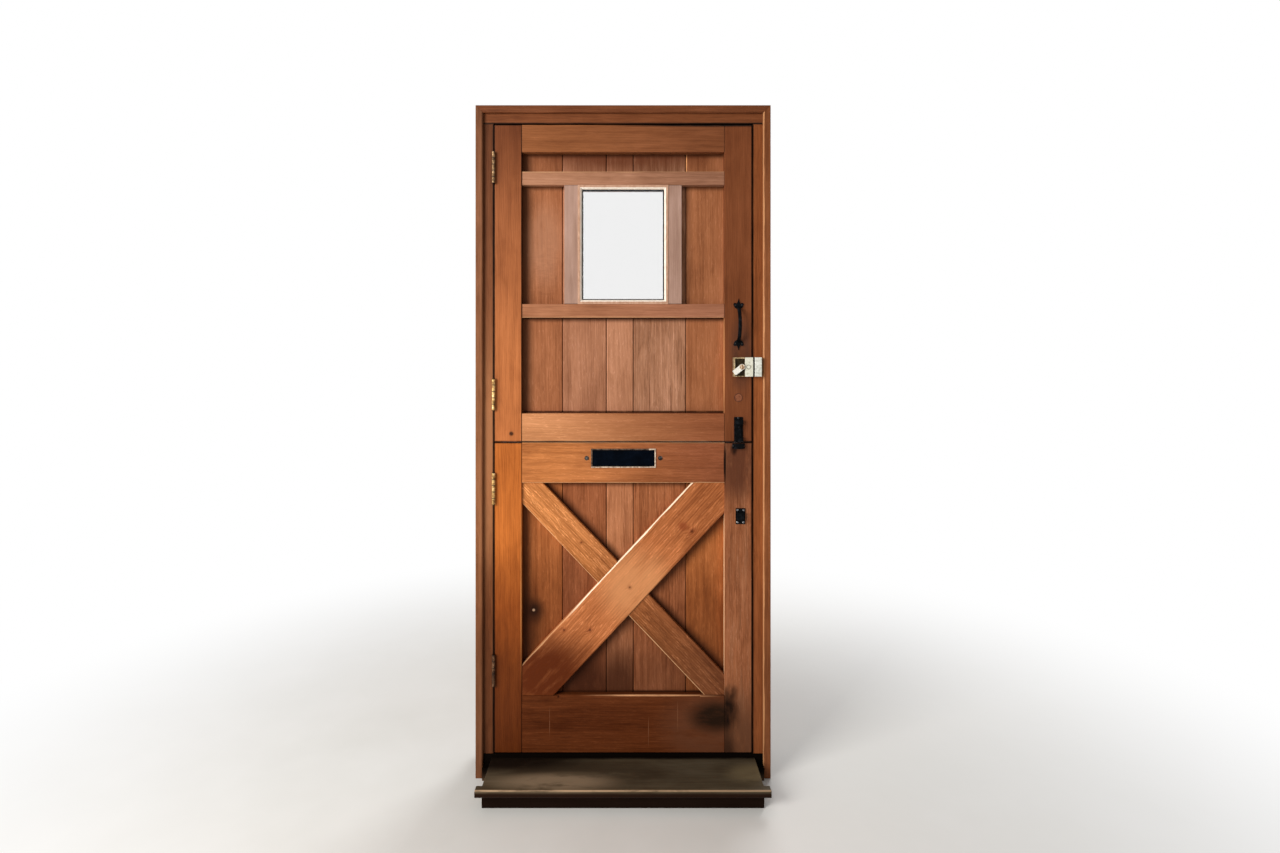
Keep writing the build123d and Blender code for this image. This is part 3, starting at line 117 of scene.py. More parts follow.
def make_camera():
    """Level camera in the room, looking straight at the door."""
    data = bpy.data.cameras.new("photo_camera")
    camera = add_object("photo_camera", data)
    camera.location = CAMERA_PLACE
    camera.rotation_euler = (math.pi / 2, 0, 0)
    data.sensor_fit = "HORIZONTAL"
    data.sensor_width = CAMERA_SENSOR
    data.lens = CAMERA_LENS
    data.shift_x, data.shift_y = CAMERA_SHIFT
    bpy.context.scene.camera = camera


# Shader building

SRGB_KNEE = 0.04045
PATCH_CORE = 0.3
RING_CORE = 0.3
FINE_RELIEF = 0.0003
COARSE_RELIEF = 0.0004


def srgb(colour):
    """Linear colour of an sRGB triple from 0 to 255."""
    values = [c / 255 for c in colour]
    return tuple(v / 12.92 if v <= SRGB_KNEE else ((v + 0.055) / 1.055) ** 2.4 for v in values) + (1.0,)


def across_grain(angle):
    """Unit vector in the plane of the door, across a grain direction."""
    turn = math.radians(angle - UPRIGHT)
    return math.cos(turn), 0.0, math.sin(turn)


class Graph:
    """Short calls for building a tree of shader nodes."""

    def __init__(self, tree):
        self.tree = tree
        tree.nodes.clear()

    def node(self, kind, inputs=None, **settings):
        """Shader node with its settings, and its inputs by name or number."""
        made = self.tree.nodes.new(kind)
        for key, value in settings.items():
            setattr(made, key, value)
        for key, value in (inputs or {}).items():
            self.feed(made.inputs[key], value)
        return made

    def feed(self, socket, value):
        """Link a socket to an output, or set it to a plain value."""
        if isinstance(value, bpy.types.NodeSocket):
            self.tree.links.new(value, socket)
        else:
            socket.default_value = value

    def math(self, operation, *values, clamp=False):
        """One sum on numbers."""
        inputs = dict(enumerate(values))
        return self.node("ShaderNodeMath", inputs, operation=operation, use_clamp=clamp).outputs[0]

    def vector(self, operation, *values, output=0):
        """One sum on vectors."""
        inputs = dict(enumerate(values))
        return self.node("ShaderNodeVectorMath", inputs, operation=operation).outputs[output]

    def times(self, first, *others):
        """Product of some values."""
        for other in others:
            first = self.math("MULTIPLY", first, other)
        return first

    def most(self, values):
        """Highest of some values."""
        best, *others = values
        for other in others:
            best = self.math("MAXIMUM", best, other)
        return best


class Shader(Graph):
    """Short calls for building one material."""

    def __init__(self, name):
        self.material = bpy.data.materials.new(name)
        self.material.use_nodes = True
        super().__init__(self.material.node_tree)
        self.output = self.node("ShaderNodeOutputMaterial")
        self.skin = self.node("ShaderNodeBsdfPrincipled")
        self.feed(self.output.inputs[0], self.skin.outputs[0])
        self.place = self.node("ShaderNodeTexCoord").outputs["Object"]

    def sway(self, value, noise, amount):
        """Value moved up and down by a noise."""
        return self.math("MULTIPLY_ADD", self.math("SUBTRACT", noise, 0.5), amount, value)

    def apart(self, value, place):
        """Distance between a value and a place."""
        return self.math("ABSOLUTE", self.math("SUBTRACT", value, place))

    def split(self, vector):
        """Three coordinates of a vector."""
        return self.node("ShaderNodeSeparateXYZ", {0: vector}).outputs

    def along(self, axis):
        """Place in the object along one axis."""
        return self.split(self.place)["XYZ".index(axis)]

    def noise(self, vector, scale, detail=3.0, roughness=0.55, distortion=0.0):
        """Noise of one scale, or of three along the axes."""
        if isinstance(scale, tuple):
            vector, scale = self.vector("MULTIPLY", vector, scale), 1.0
        inputs = {"Vector": vector, "Scale": scale, "Detail": detail, "Roughness": roughness}
        inputs["Distortion"] = distortion
        return self.node("ShaderNodeTexNoise", inputs).outputs[0]

    def ramp(self, value, start, end, first=0.0, last=1.0):
        """Smooth step of value from start to end, given as first to last."""
        inputs = {0: value, 1: start, 2: end, 3: first, 4: last}
        return self.node("ShaderNodeMapRange", inputs, interpolation_type="SMOOTHSTEP").outputs[0]

    def edge(self, value, place, blur):
        """0 before a place and 1 past it, or the other way round where the blur is negative."""
        return self.ramp(value, place - blur, place + blur)

    def mix(self, factor, first, second, mode="MIX"):
        """Two colours mixed by a factor."""
        inputs = {0: factor, 6: first, 7: second}
        settings = {"data_type": "RGBA", "blend_type": mode, "clamp_factor": True}
        return self.node("ShaderNodeMix", inputs, **settings).outputs[2]

    def tint(self, colour, tone, *amounts):
        """Colour with an sRGB tone laid over it, by the product of some amounts."""
        return self.mix(self.times(*amounts), colour, srgb(tone))

    def weights(self, value, stops):
        """Ramp through (position, linear colour) stops."""
        made = self.node("ShaderNodeValToRGB", {0: value})
        elements = made.color_ramp.elements
        while len(elements) < len(stops):
            elements.new(0.5)
        for element, (position, colour) in zip(elements, stops):
            element.position = position
            element.color = (*colour[:3], 1.0)
        return made.outputs[0]

    def tones(self, value, stops):
        """Ramp through (position, sRGB colour) stops."""
        return self.weights(value, [(position, srgb(colour)) for position, colour in stops])

    def bump(self, height, strength, distance):
        """Relief of the surface."""
        inputs = {"Height": height, "Strength": strength, "Distance": distance}
        self.feed(self.skin.inputs["Normal"], self.node("ShaderNodeBump", inputs).outputs[0])

    def paint(self, colour, roughness, metallic=0.0, specular=0.5):
        """Colour and shine of the surface."""
        self.feed(self.skin.inputs["Base Color"], colour)
        self.feed(self.skin.inputs["Roughness"], roughness)
        self.feed(self.skin.inputs["Metallic"], metallic)
        self.feed(self.skin.inputs["Specular IOR Level"], specular)

    def coat(self, colour, patches, dull, shiny, bump, relief=FINE_RELIEF, **shine):
        """Paint whose roughness runs from dull to shiny with the patches, and their relief."""
        self.paint(colour, self.ramp(patches, 0.3, 0.7, dull, shiny), **shine)
        self.bump(patches, bump, relief)
        return self.material

    def away(self, centre, scale):
        """Distance from a point of the object, with each axis multiplied by its scale."""
        shift = self.vector("SUBTRACT", self.place, centre)
        return self.vector("LENGTH", self.vector("MULTIPLY", shift, scale), output="Value")

    def blob(self, centre, radii, core=0.0):
        """1 at a point of the object and 0 from the ellipsoid with these radii, with a core of 1."""
        return self.ramp(self.away(centre, tuple(1 / r for r in radii)), 1.0, core)

    def ring(self, centre, radius, width):
        """1 on a circle in the plane of the door, falling to 0 at width from it."""
        return self.ramp(self.apart(self.away(centre, (1, 0, 1)), radius), width, width * RING_CORE)

    def seam(self, axis, value, reach):
        """1 on a plane across one axis of the object, falling to 0 at reach from it."""
        return self.ramp(self.apart(self.along(axis), value), reach, 0.0)

    def lane(self, angle, value, reach):
        """1 along a line in the plane of the door, value being its place across, falling to 0 at reach."""
        across = self.vector("DOT_PRODUCT", self.place, across_grain(angle), output="Value")
        return self.ramp(self.apart(across, value), reach, 0.0)


def dress(node, material):
    """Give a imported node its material."""
    mesh = NODES[node].data
    mesh.materials.clear()
    mesh.materials.append(material)


# Wood

# Patterns: scales across, deep and along the grain, then detail, roughness and distortion
BROAD = ((11, 11, 1.6), 3.0)
CLOUD = ((9, 9, 5), 3.0, 0.55, 0.6)
STREAK = ((70, 70, 2.6), 4.0, 0.62, 0.4)
FLAME = ((40, 40, 8), 4.0, 0.65, 1.2)
THREAD = ((190, 190, 5), 3.0, 0.6, 0.5)
FIBRE = ((430, 430, 14), 2.0)
PORE = ((820, 820, 30), 1.0)
CURL = ((26, 26, 130), 2.0, 0.5, 1.6)
BLEACH = ((60, 60, 5), 4.0, 0.7)
HAIR = ((170, 170, 24), 3.0, 0.6, 1.8)
SMEAR = ((24, 24, 7), 4.0, 0.65)

# Shares of the patterns in the lightness of the grain, then how strong and how dark the pores are
STREAK_SHARE = 0.62
BROAD_SHARE = 0.5
FLAME_SHARE = 0.5
THREAD_SHARE = 0.5
FIBRE_SHARE = 0.3
PORE_SHARE = 0.22
PORE_SHADE = 0.45

# Starts and ends of the steps that turn a pattern into marks
PORE_LIMITS = (0.58, 0.72)
LATE_RISE = (0.2, 0.86)
LATE_FALL = (1.0, 0.9)
BLEACH_LIMITS = (0.46, 0.66)
HAIR_LIMITS = (0.55, 0.64)
PATCH_LIMITS = (0.28, 0.52)
SEAM_PATCH_LIMITS = (0.2, 0.6, 0.6, 1.0)

# Growth rings and knots: offset, drift, wave and depth in metres, reach, swell and halo in knot radii
OFFSET_LIMIT = 9
PITH_DRIFT = 0.02
RING_WAVE = 0.02
RING_WARP = 3.0
GRAIN_TILT = 0.03
KNOT_DEPTH = 0.08
KNOT_REACH = 3.6
KNOT_SWELL = 1.6
KNOT_HALO = 2.4
HALO_TONE = (126, 56, 28)
HALO_SHARE = 0.5
CORE_TONE = (58, 26, 14)
CORE_SHARE = 0.75

# Linear factors by which the grain, painted shade towards the head and the floor, and scratches change a
# timber's colour
GRAIN_STOPS = ((0.15, (0.56, 0.49, 0.44)), (0.5, (1.0, 1.0, 1.0)), (0.85, (1.42, 1.52, 1.66)))
HEIGHT_SHADE_TOP = 2.12
HEIGHT_SHADE_STOPS = ((0.06, (0.22, 0.17, 0.17)), (0.17, (0.29, 0.225, 0.185)), (0.25, (0.52, 0.42, 0.34)),
             (0.34, (1.0, 0.95, 0.85)), (0.62, (1.0, 1.0, 1.0)), (0.80, (0.74, 0.73, 0.80)),
             (0.96, (0.36, 0.32, 0.35)))
HEIGHT_SHADE_BLUR = 0.12
SCRATCH_LIFT = (1.55, 1.75, 2.05, 1.0)

# Second tones, dirt and wear, painted shade and painted highlight, with depths from the room face in metres
END_TONE_RUN = (-0.32, 0.32)
END_TONE_BLUR = 0.3
DRY_TONE = (176, 142, 112)
SEAM_DIRT_AND_SHADE = (22, 11, 6)
SEAM_DEPTHS = (0.036, 0.016)
CORNER_SHADE_AND_DIRT = (56, 25, 10)
CORNER_BACK = (0.012, 0.006)
CORNER_FRONT = (-0.007, -0.003)
# Pale arrises: wear, and painted highlight on edges that face the light
WORN_AND_LIT_EDGE = (226, 176, 128)
ARRIS_DEPTHS = (0.012, 0.006)
ARRIS_BLUR = 2.4
ARRIS_CORE = 0.45

# Shine and relief of oiled wood
PATCH_ROUGHNESS = 0.3
PORE_ROUGHNESS = 0.15
LATE_RELIEF = -0.5
PORE_RELIEF = -0.9
FLAME_RELIEF = 1.2
WOOD_BUMP = 0.35
WOOD_RELIEF = 0.0006
LIVELIEST = 1.2


def span(node, angle):
    """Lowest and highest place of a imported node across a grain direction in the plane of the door."""
    x, _, z = across_grain(angle)
    values = [v.co.x * x + v.co.z * z for v in NODES[node].data.vertices]
    return min(values), max(values)


class Timber(Shader):
    """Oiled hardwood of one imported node, with its grain along one direction of the door."""

    def __init__(self, node, angle, seed, life):
        super().__init__(f"{node}_wood")
        self.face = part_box(node)[0][1]
        self.sides = span(node, angle)
        self.life = life
        draw = random.Random(seed)
        offset = [draw.uniform(-OFFSET_LIMIT, OFFSET_LIMIT) for _ in range(3)]
        self.drift = draw.uniform(-1, 1) * PITH_DRIFT
        turn = (0, math.radians(angle - UPRIGHT), 0)
        turned = self.node("ShaderNodeMapping", {0: self.place, 2: turn}).outputs[0]
        self.grain = self.node("ShaderNodeMapping", {0: turned, 1: offset}).outputs[0]
        self.across, self.deep, self.lengthwise = self.split(turned)
        self.broad = self.pattern(BROAD)
        self.flame = self.pattern(FLAME)
        self.fibre = self.pattern(FIBRE)
        self.smear = self.pattern(SMEAR)
        self.pores = self.ramp(self.pattern(PORE), *PORE_LIMITS)

    def pattern(self, recipe):
        """Noise that follows the grain."""
        return self.noise(self.grain, *recipe)

    def knot(self, place, radius):
        """1 in the middle of a knot through the timber, falling to 0 at a radius."""
        return self.blob(place, (radius, KNOT_DEPTH, radius))

    def within(self, face, depths):
        """Smooth step from 0 to 1 between two depths behind a face."""
        return self.ramp(self.deep, *(face + depth for depth in depths))

    def lay(self, tone, *amounts):
        """Lay an sRGB tone over the timber's colour."""
        self.colour = self.tint(self.colour, tone, *amounts)

    def grow(self, pith, knots, ring):
        """Dark late wood of the rings, round a pith nearly along the piece and bent round the knots."""
        flow = self.math("MULTIPLY_ADD", self.broad, RING_WAVE, self.times(self.lengthwise, GRAIN_TILT))
        side = self.math("ADD", self.across, self.math("ADD", flow, self.drift + pith[0]))
        back = self.math("ADD", self.deep, pith[1])
        radius = self.math("SQRT", self.math("ADD", self.times(side, side), self.times(back, back)))
        for *place, size in knots:
            near = self.knot(place, size * KNOT_REACH)
            radius = self.math("MULTIPLY_ADD", near, size * KNOT_SWELL, radius)
        warp = self.times(self.broad, RING_WARP)
        part = self.math("FRACT", self.math("MULTIPLY_ADD", radius, 1 / ring, warp))
        self.late = self.times(self.ramp(part, *LATE_RISE), self.ramp(part, *LATE_FALL))

    def figure(self, clouds, rings, curls):
        """Lightness of the grain round a middle of 0.5."""
        level = 0.5
        parts = ((self.pattern(STREAK), STREAK_SHARE * self.life), (self.broad, BROAD_SHARE),
                 (self.pattern(CLOUD), clouds), (self.flame, FLAME_SHARE * self.life),
                 (self.pattern(THREAD), THREAD_SHARE * self.life), (self.fibre, FIBRE_SHARE * self.life))
        for noise, share in parts:
            level = self.sway(level, noise, share)
        level = self.math("MULTIPLY_ADD", self.late, -rings, level)
        for centre, radii, amount in curls:
            wavy = self.times(self.math("SUBTRACT", self.pattern(CURL), 0.5), self.blob(centre, radii))
            level = self.math("MULTIPLY_ADD", wavy, amount, level)
        return level

    def base(self, tone, end_tone, level):
        """Tone of the timber with its grain and pores."""
        self.colour = srgb(tone)
        # The end tone is partly the wood's own colour and partly a painted sheen towards the hinge side
        if end_tone:
            position = self.sway(self.along("X"), self.broad, END_TONE_BLUR)
            self.lay(end_tone, self.ramp(position, *END_TONE_RUN))
        self.colour = self.mix(1.0, self.colour, self.weights(level, GRAIN_STOPS), "MULTIPLY")
        self.lay([c * PORE_SHADE for c in tone], self.pores, PORE_SHARE * self.life)

    def shade_by_height(self, height_shade):
        """Paint shade on the wood towards the head and the floor."""
        height = self.times(self.sway(self.along("Z"), self.flame, HEIGHT_SHADE_BLUR), 1 / HEIGHT_SHADE_TOP)
        self.colour = self.mix(height_shade, self.colour, self.weights(height, HEIGHT_SHADE_STOPS), "MULTIPLY")

    def bleach(self, dryness):
        """Pale the wood where its oil has gone."""
        self.lay(DRY_TONE, self.ramp(self.pattern(BLEACH), *BLEACH_LIMITS), dryness)

    def scratch(self, scratches):
        """Cover the wood with bright hair lines."""
        bright = self.mix(1.0, self.colour, SCRATCH_LIFT, "MULTIPLY")
        lines = self.ramp(self.pattern(HAIR), *HAIR_LIMITS)
        self.colour = self.mix(self.times(lines, scratches), self.colour, bright)

    def lay_patches(self, stains_and_shading):
        """Lay patches of other tones: staining and dirt, and painted light and painted shade."""
        for centre, radii, tone, strength, patchiness in stains_and_shading:
            patchy = self.ramp(self.smear, *PATCH_LIMITS, 1.0 - patchiness, 1.0)
            self.lay(tone, self.blob(centre, radii, PATCH_CORE), patchy, strength)

    def mark_knots(self, knots):
        """Give each knot a brown halo and a dark core."""
        for *place, size in knots:
            self.lay(HALO_TONE, self.knot(place, size * KNOT_HALO), HALO_SHARE)
            self.lay(CORE_TONE, self.knot(place, size), CORE_SHARE)

    def wear_and_light_edges(self, arris):
        """Pale the arrises of the room face, as wear and as painted highlight."""
        front = self.within(self.face, ARRIS_DEPTHS)
        for side, width, tone, strength, *run in arris:
            edge = self.apart(self.across, self.sides[0] if side < 0 else self.sides[1])
            edge = self.sway(edge, self.smear, width * ARRIS_BLUR)
            fade = self.ramp(self.along("X"), *run) if run else 1.0
            self.lay(tone, self.ramp(edge, width, width * ARRIS_CORE), front, fade, strength)

    def darken_corners(self, corners):
        """Lay painted shade and dirt on the boards' room face beside other timbers."""
        lanes = [self.times(self.lane(*line), strength) for *line, strength in corners]
        self.lay(CORNER_SHADE_AND_DIRT, self.most(lanes), self.within(BOARD_FACE, CORNER_BACK),
                 self.within(BOARD_FACE, CORNER_FRONT))

    def fill_seams(self, seams, through):
        """Line the joints with dirt and the gaps round the leaves with painted shade, near the room face
        alone or through the timber.
        """
        dark_lines = self.most([self.seam(*place) for place in seams])
        front = 1.0 if through else self.within(self.face, SEAM_DEPTHS)
        self.lay(SEAM_DIRT_AND_SHADE, dark_lines, self.ramp(self.smear, *SEAM_PATCH_LIMITS), front)

    def oil(self, roughness, gloss):
        """Give the wood its colour and the shine and relief of oiled grain."""
        rough = self.sway(roughness, self.smear, PATCH_ROUGHNESS)
        rough = self.math("MULTIPLY_ADD", self.pores, PORE_ROUGHNESS, rough, clamp=True)
        self.paint(self.colour, rough, specular=gloss)
        relief = self.math("MULTIPLY_ADD", self.pores, PORE_RELIEF, self.fibre)
        relief = self.math("MULTIPLY_ADD", self.late, LATE_RELIEF, relief)
        relief = self.math("MULTIPLY_ADD", self.flame, FLAME_RELIEF, relief)
        self.bump(relief, WOOD_BUMP * min(self.life, LIVELIEST), WOOD_RELIEF)


def timber(node, angle, tone, seed, end_tone=None, life=1.0, clouds=0.45, rings=0.07, ring=0.0055,
           pith=(0.10, 0.06), curls=(), knots=(), height_shade=0.0, dry=0.0, scratches=0.0, stains_and_shading=(), arris=(),
           corners=(), seams=(), through=False, roughness=0.46, gloss=0.08):
    """Dress one timber in oiled hardwood with its grain along one direction of the door.

    angle is the grain's slope in the plane of the door. tone is the middle sRGB colour, and end_tone the
    one that it turns to towards the latch side, the change being partly the wood's own colour and partly a
    painted sheen towards the hinge side. ring is the width of a growth ring. curls are (centre, radii,
    amount), knots (x, y, z, radius), stains_and_shading patches of staining, dirt, painted light and
    painted shade as (centre, radii, tone, strength, patchiness), arris pale edges of wear and painted
    highlight as (side, width, tone, strength, x without wear, x of full wear), the last two where the wear
    fades, corners painted shade and dirt beside other timbers as (angle, place across, reach, strength),
    and seams dark lines of dirt in the joints and of painted shade in the gaps round the leaves as (axis,
    place, reach)."""
    s = Timber(node, angle, seed, life)
    s.grow(pith, knots, ring)
    s.base(tone, end_tone, s.figure(clouds, rings, curls))
    if height_shade:
        s.shade_by_height(height_shade)
    if dry:
        s.bleach(dry)
    if scratches:
        s.scratch(scratches)
    s.lay_patches(stains_and_shading)
    s.mark_knots(knots)
    s.wear_and_light_edges(arris)
    if corners:
        s.darken_corners(corners)
    if seams:
        s.fill_seams(seams, through)
    s.oil(roughness, gloss)
    dress(node, s.material)


# Frame

FRAME_TONE = (143, 81, 43)
FRAME_LIT = (122, 72, 42)
HEAD_TONE = (116, 66, 38)
# Dark lines on the frame's edges beside the gap round the leaves: painted shade
JAMB_SEAMS = (("Z", HEAD_FOOT, 0.005), ("X", -JAMB_X, 0.005), ("X", JAMB_X, 0.005))
HEAD_SEAMS = (("Z", HEAD_FOOT, 0.006),)
# Pale patch down the middle of the hinge jamb: painted light
JAMB_PAINTED_LIGHT = ((-0.43, 0.0, 1.0), (0.06, 0.05, 0.5), (168, 112, 74), 0.8, 0.4)
# Black band on the head above the leaf: painted shade in the gap
HEAD_GAP_SHADE = ((0.30, 0.0, 2.058), (0.50, 0.05, 0.006), (8, 4, 2), 1.0, 0.2)
# Pale inner arris of the latch side strip: painted highlight
STRIP_HIGHLIGHT = ((-1, 0.004, (232, 172, 120), 0.5),)
timber("hinge_jamb", UPRIGHT, FRAME_LIT, 11, seams=JAMB_SEAMS, height_shade=0.6, stains_and_shading=(JAMB_PAINTED_LIGHT,))
timber("latch_jamb", UPRIGHT, FRAME_TONE, 12, seams=JAMB_SEAMS, height_shade=0.3)
timber("frame_head", LEVEL, HEAD_TONE, 13, seams=HEAD_SEAMS, stains_and_shading=(HEAD_GAP_SHADE,))
timber("cover_strip_head", LEVEL, (112, 64, 38), 14)
timber("cover_strip_hinge_side", UPRIGHT, (136, 88, 58), 15, height_shade=0.5)
timber("cover_strip_latch_side", UPRIGHT, (140, 84, 50), 16, height_shade=0.3, arris=STRIP_HIGHLIGHT)

# Sill, step and weatherboard

# Near black on the room side of the sill: painted shade
SILL_SHADE = ((0.0, -0.02, 0.062), (2.0, 0.10, 0.08), (9, 5, 3), 1.0, 0.0)
STEP_TONE = (84, 71, 54)
STEP_LATCH_TONE = (76, 66, 51)
STEP_MOTTLE = ((-0.10, -0.09, 0.061), (0.40, 0.09, 0.03), (54, 44, 33), 0.65, 1.0)
# Pale patch on the front of the tread: painted light, with dust
STEP_LIGHT_AND_DUST = ((-0.20, -0.13, 0.061), (0.24, 0.06, 0.03), (138, 118, 95), 0.9, 1.0)
STEP_END = ((0.40, -0.09, 0.061), (0.12, 0.07, 0.03), (116, 102, 76), 0.7, 0.8)
STEP_SHADE = ((-0.38, -0.02, 0.061), (0.40, 0.09, 0.03), (22, 15, 10), 1.0, 0.2)
# Dark band along the back of the tread, next to the sill: painted shade
STEP_BACK_SHADE = ((0.0, 0.0, 0.061), (3.0, 0.020, 0.03), (16, 10, 6), 1.0, 0.4)
NOSING_FACE = ((0.0, -0.180, 0.045), (4.0, 0.013, 0.0145), (34, 18, 10), 1.0, 0.1)
NOSING_WEAR = ((0.0, -0.174, 0.061), (2.0, 0.006, 0.0034), (190, 158, 126), 0.9, 0.9)
STEP_STAINS_AND_SHADING = (STEP_MOTTLE, STEP_LIGHT_AND_DUST, STEP_END, STEP_SHADE, STEP_BACK_SHADE, NOSING_FACE, NOSING_FACE,
               NOSING_WEAR)
timber("frame_sill", LEVEL, (96, 74, 56), 17, dry=0.35, roughness=0.6, gloss=0.02,
       stains_and_shading=(SILL_SHADE, SILL_SHADE))
timber("tread_board", LEVEL, STEP_TONE, 18, end_tone=STEP_LATCH_TONE, roughness=0.5, life=0.7, rings=0.03,
       stains_and_shading=STEP_STAINS_AND_SHADING, gloss=0.05, clouds=1.0)
timber("tread_riser", LEVEL, (26, 15, 10), 19, life=0.6, gloss=0.02)
timber("weatherboard", LEVEL, (120, 94, 72), 20, dry=0.45, roughness=0.62)

# Seams of the leaves and marks that several of their timbers share

RAIL_SEAMS = (("X", -PANEL_X, 0.0025), ("X", PANEL_X, 0.0025))
# Dark lines on the leaves' edges in the gaps round them and between them: painted shade
SPLIT_LOW = ("Z", LOWER_TOP, 0.0045)
SPLIT_HIGH = ("Z", UPPER_FOOT, 0.0045)
LEAF_SIDES = (("X", -LEAF_X, 0.004), ("X", LEAF_X, 0.004), ("Z", UPPER_TOP, 0.004))
HEAD_SHADE = ((0.28, 0.0, UPPER_TOP), (0.42, 0.03, 0.0085), (10, 5, 3), 1.0, 0.3)
LETTER_SEAM = ((PANEL_X + 0.0005, 0.0, 0.988), (0.0055, 0.03, 0.090), (8, 4, 2), 1.0, 0.1)
SOOT = (20, 11, 7)

# Hinge stiles

PEG = ((-0.353, 0.0, 1.081), (0.010, 0.03, 0.010), (36, 18, 10), 1.0, 0.3)
STILE_EDGE = ((-0.3215, 0.0, 0.60), (0.0032, 0.010, 0.35), (228, 156, 90), 0.7, 0.5)
timber("upper_hinge_stile", UPRIGHT, (178, 106, 60), 21, seams=(SPLIT_HIGH,) + LEAF_SIDES + RAIL_SEAMS[:1],
       height_shade=1.0, stains_and_shading=(PEG,), pith=(0.44, 0.09), life=0.7)
timber("lower_hinge_stile", UPRIGHT, (184, 104, 46), 22, seams=(SPLIT_LOW,) + LEAF_SIDES, height_shade=1.0,
       stains_and_shading=(STILE_EDGE,), pith=(0.46, 0.08), life=0.7)

# Latch stiles

# Pale side faces of the latch stiles beside the boards: painted light
LATCH_CHEEK_LIGHT = ((PANEL_X, 0.014, 1.29), (0.0035, 0.0135, 0.28), (232, 166, 110), 1.0, 0.35)
LOWER_CHEEK_LIGHT = ((PANEL_X, 0.014, 0.62), (0.0035, 0.0135, 0.62), (255, 206, 160), 1.0, 0.3)
HANDLE_SHADE = ((0.372, 0.0, 1.33), (0.05, 0.03, 0.16), (74, 47, 37), 0.75, 0.4)
# Dark patch under the bolt's keep: painted shadow
BOLT_SHADOW = ((0.350, 0.0, 1.032), (0.014, 0.03, 0.026), (30, 16, 11), 0.9, 0.5)
SCUFF = ((0.325, 0.0, 0.20), (0.058, 0.03, 0.085), SOOT, 1.0, 0.25)
SCUFF_TOP = ((0.340, 0.0, 0.265), (0.030, 0.03, 0.035), SOOT, 0.7, 0.7)
LATCH_SHADE = ((0.36, 0.0, 0.98), (0.10, 0.03, 0.16), (88, 50, 34), 0.9, 0.5)
LATCH_FOOT = ((0.363, 0.0, 0.05), (0.4, 0.05, 0.30), (98, 62, 42), 0.95, 0.3)
LATCH_HEEL = ((0.325, 0.0, 0.06), (0.04, 0.05, 0.12), (56, 34, 23), 0.9, 0.4)
timber("upper_latch_stile", UPRIGHT, (118, 66, 38), 23, seams=(SPLIT_HIGH,) + LEAF_SIDES,
       pith=(-0.31, 0.07), life=0.6, stains_and_shading=(HEAD_SHADE, HANDLE_SHADE, LATCH_CHEEK_LIGHT))
timber("lower_latch_stile", UPRIGHT, (150, 92, 60), 24, seams=(SPLIT_LOW,) + LEAF_SIDES,
       pith=(-0.30, 0.07), life=1.1, dry=0.12, scratches=0.4, gloss=0.04,
       stains_and_shading=(LATCH_SHADE, LATCH_FOOT, LATCH_HEEL, SCUFF, SCUFF_TOP, BOLT_SHADOW, LOWER_CHEEK_LIGHT, LETTER_SEAM))

# Rails and ledges

RAIL_SOOT = ((0.290, 0.0, 0.188), (0.115, 0.03, 0.070), (36, 22, 13), 1.0, 0.3)
RAIL_WORN = ((0.27, 0.0, 0.15), (0.20, 0.03, 0.16), (100, 60, 40), 0.8, 0.6)
RAIL_MARKS = tuple(((x, 0.0, z), (0.0016, 0.03, 0.06), (128, 84, 58), 0.6, 0.7)
                   for x, z in ((-0.232, 0.17), (0.080, 0.14), (0.172, 0.19)))
# Pale line along the bevel on the bottom rail's top: dust and painted highlight
RAIL_DUST_AND_HIGHLIGHT = ((0.09, 0.004, 0.252), (0.26, 0.012, 0.0035), (212, 156, 112), 1.0, 0.5)
timber("upper_top_rail", LEVEL, (136, 82, 48), 25, end_tone=(120, 70, 42), seams=RAIL_SEAMS,
       pith=(-2.02, 0.08), stains_and_shading=(HEAD_SHADE,), life=0.8)
timber("upper_meeting_rail", LEVEL, (192, 130, 86), 26, end_tone=(138, 80, 50), pith=(-1.16, 0.07),
       seams=RAIL_SEAMS + (SPLIT_HIGH,), arris=((1, 0.004, WORN_AND_LIT_EDGE, 0.4),), life=0.55, clouds=0.3,
       scratches=0.3)
timber("window_ledge_upper", LEVEL, (164, 116, 88), 27, end_tone=(158, 112, 88), seams=RAIL_SEAMS,
       pith=(-1.9, 0.09), arris=((-1, 0.003, WORN_AND_LIT_EDGE, 0.4),), life=0.8)
timber("window_ledge_lower", LEVEL, (168, 112, 80), 28, end_tone=(160, 106, 80), seams=RAIL_SEAMS,
       pith=(-1.5, 0.09), arris=((1, 0.003, WORN_AND_LIT_EDGE, 0.4),), life=0.8)
timber("lower_letter_rail", LEVEL, (188, 116, 64), 29, end_tone=(132, 74, 46), seams=RAIL_SEAMS[:1],
       pith=(-0.93, 0.08), arris=((-1, 0.002, WORN_AND_LIT_EDGE, 0.35), (1, 0.0025, WORN_AND_LIT_EDGE, 0.6)), scratches=0.3,
       stains_and_shading=(LETTER_SEAM,))
timber("lower_bottom_rail", LEVEL, (88, 43, 19), 30, seams=RAIL_SEAMS, pith=(-0.2, 0.1), life=1.1,
       stains_and_shading=(RAIL_WORN,) + RAIL_MARKS + (RAIL_SOOT, RAIL_DUST_AND_HIGHLIGHT), gloss=0.04, scratches=0.35)

# Muntins

# Greyish pink on the muntins: the wood's tone with a painted haze of the daylight round the window
MUNTIN_TONE = (164, 131, 116)
MUNTIN_SEAMS = (("Z", LOW_LEDGE_TOP, 0.002), ("Z", TOP_LEDGE_FOOT, 0.002))
for seed, side in ((31, "hinge"), (32, "latch")):
    timber(f"window_muntin_{side}_side", UPRIGHT, MUNTIN_TONE, seed, seams=MUNTIN_SEAMS, life=0.5)

# Boards

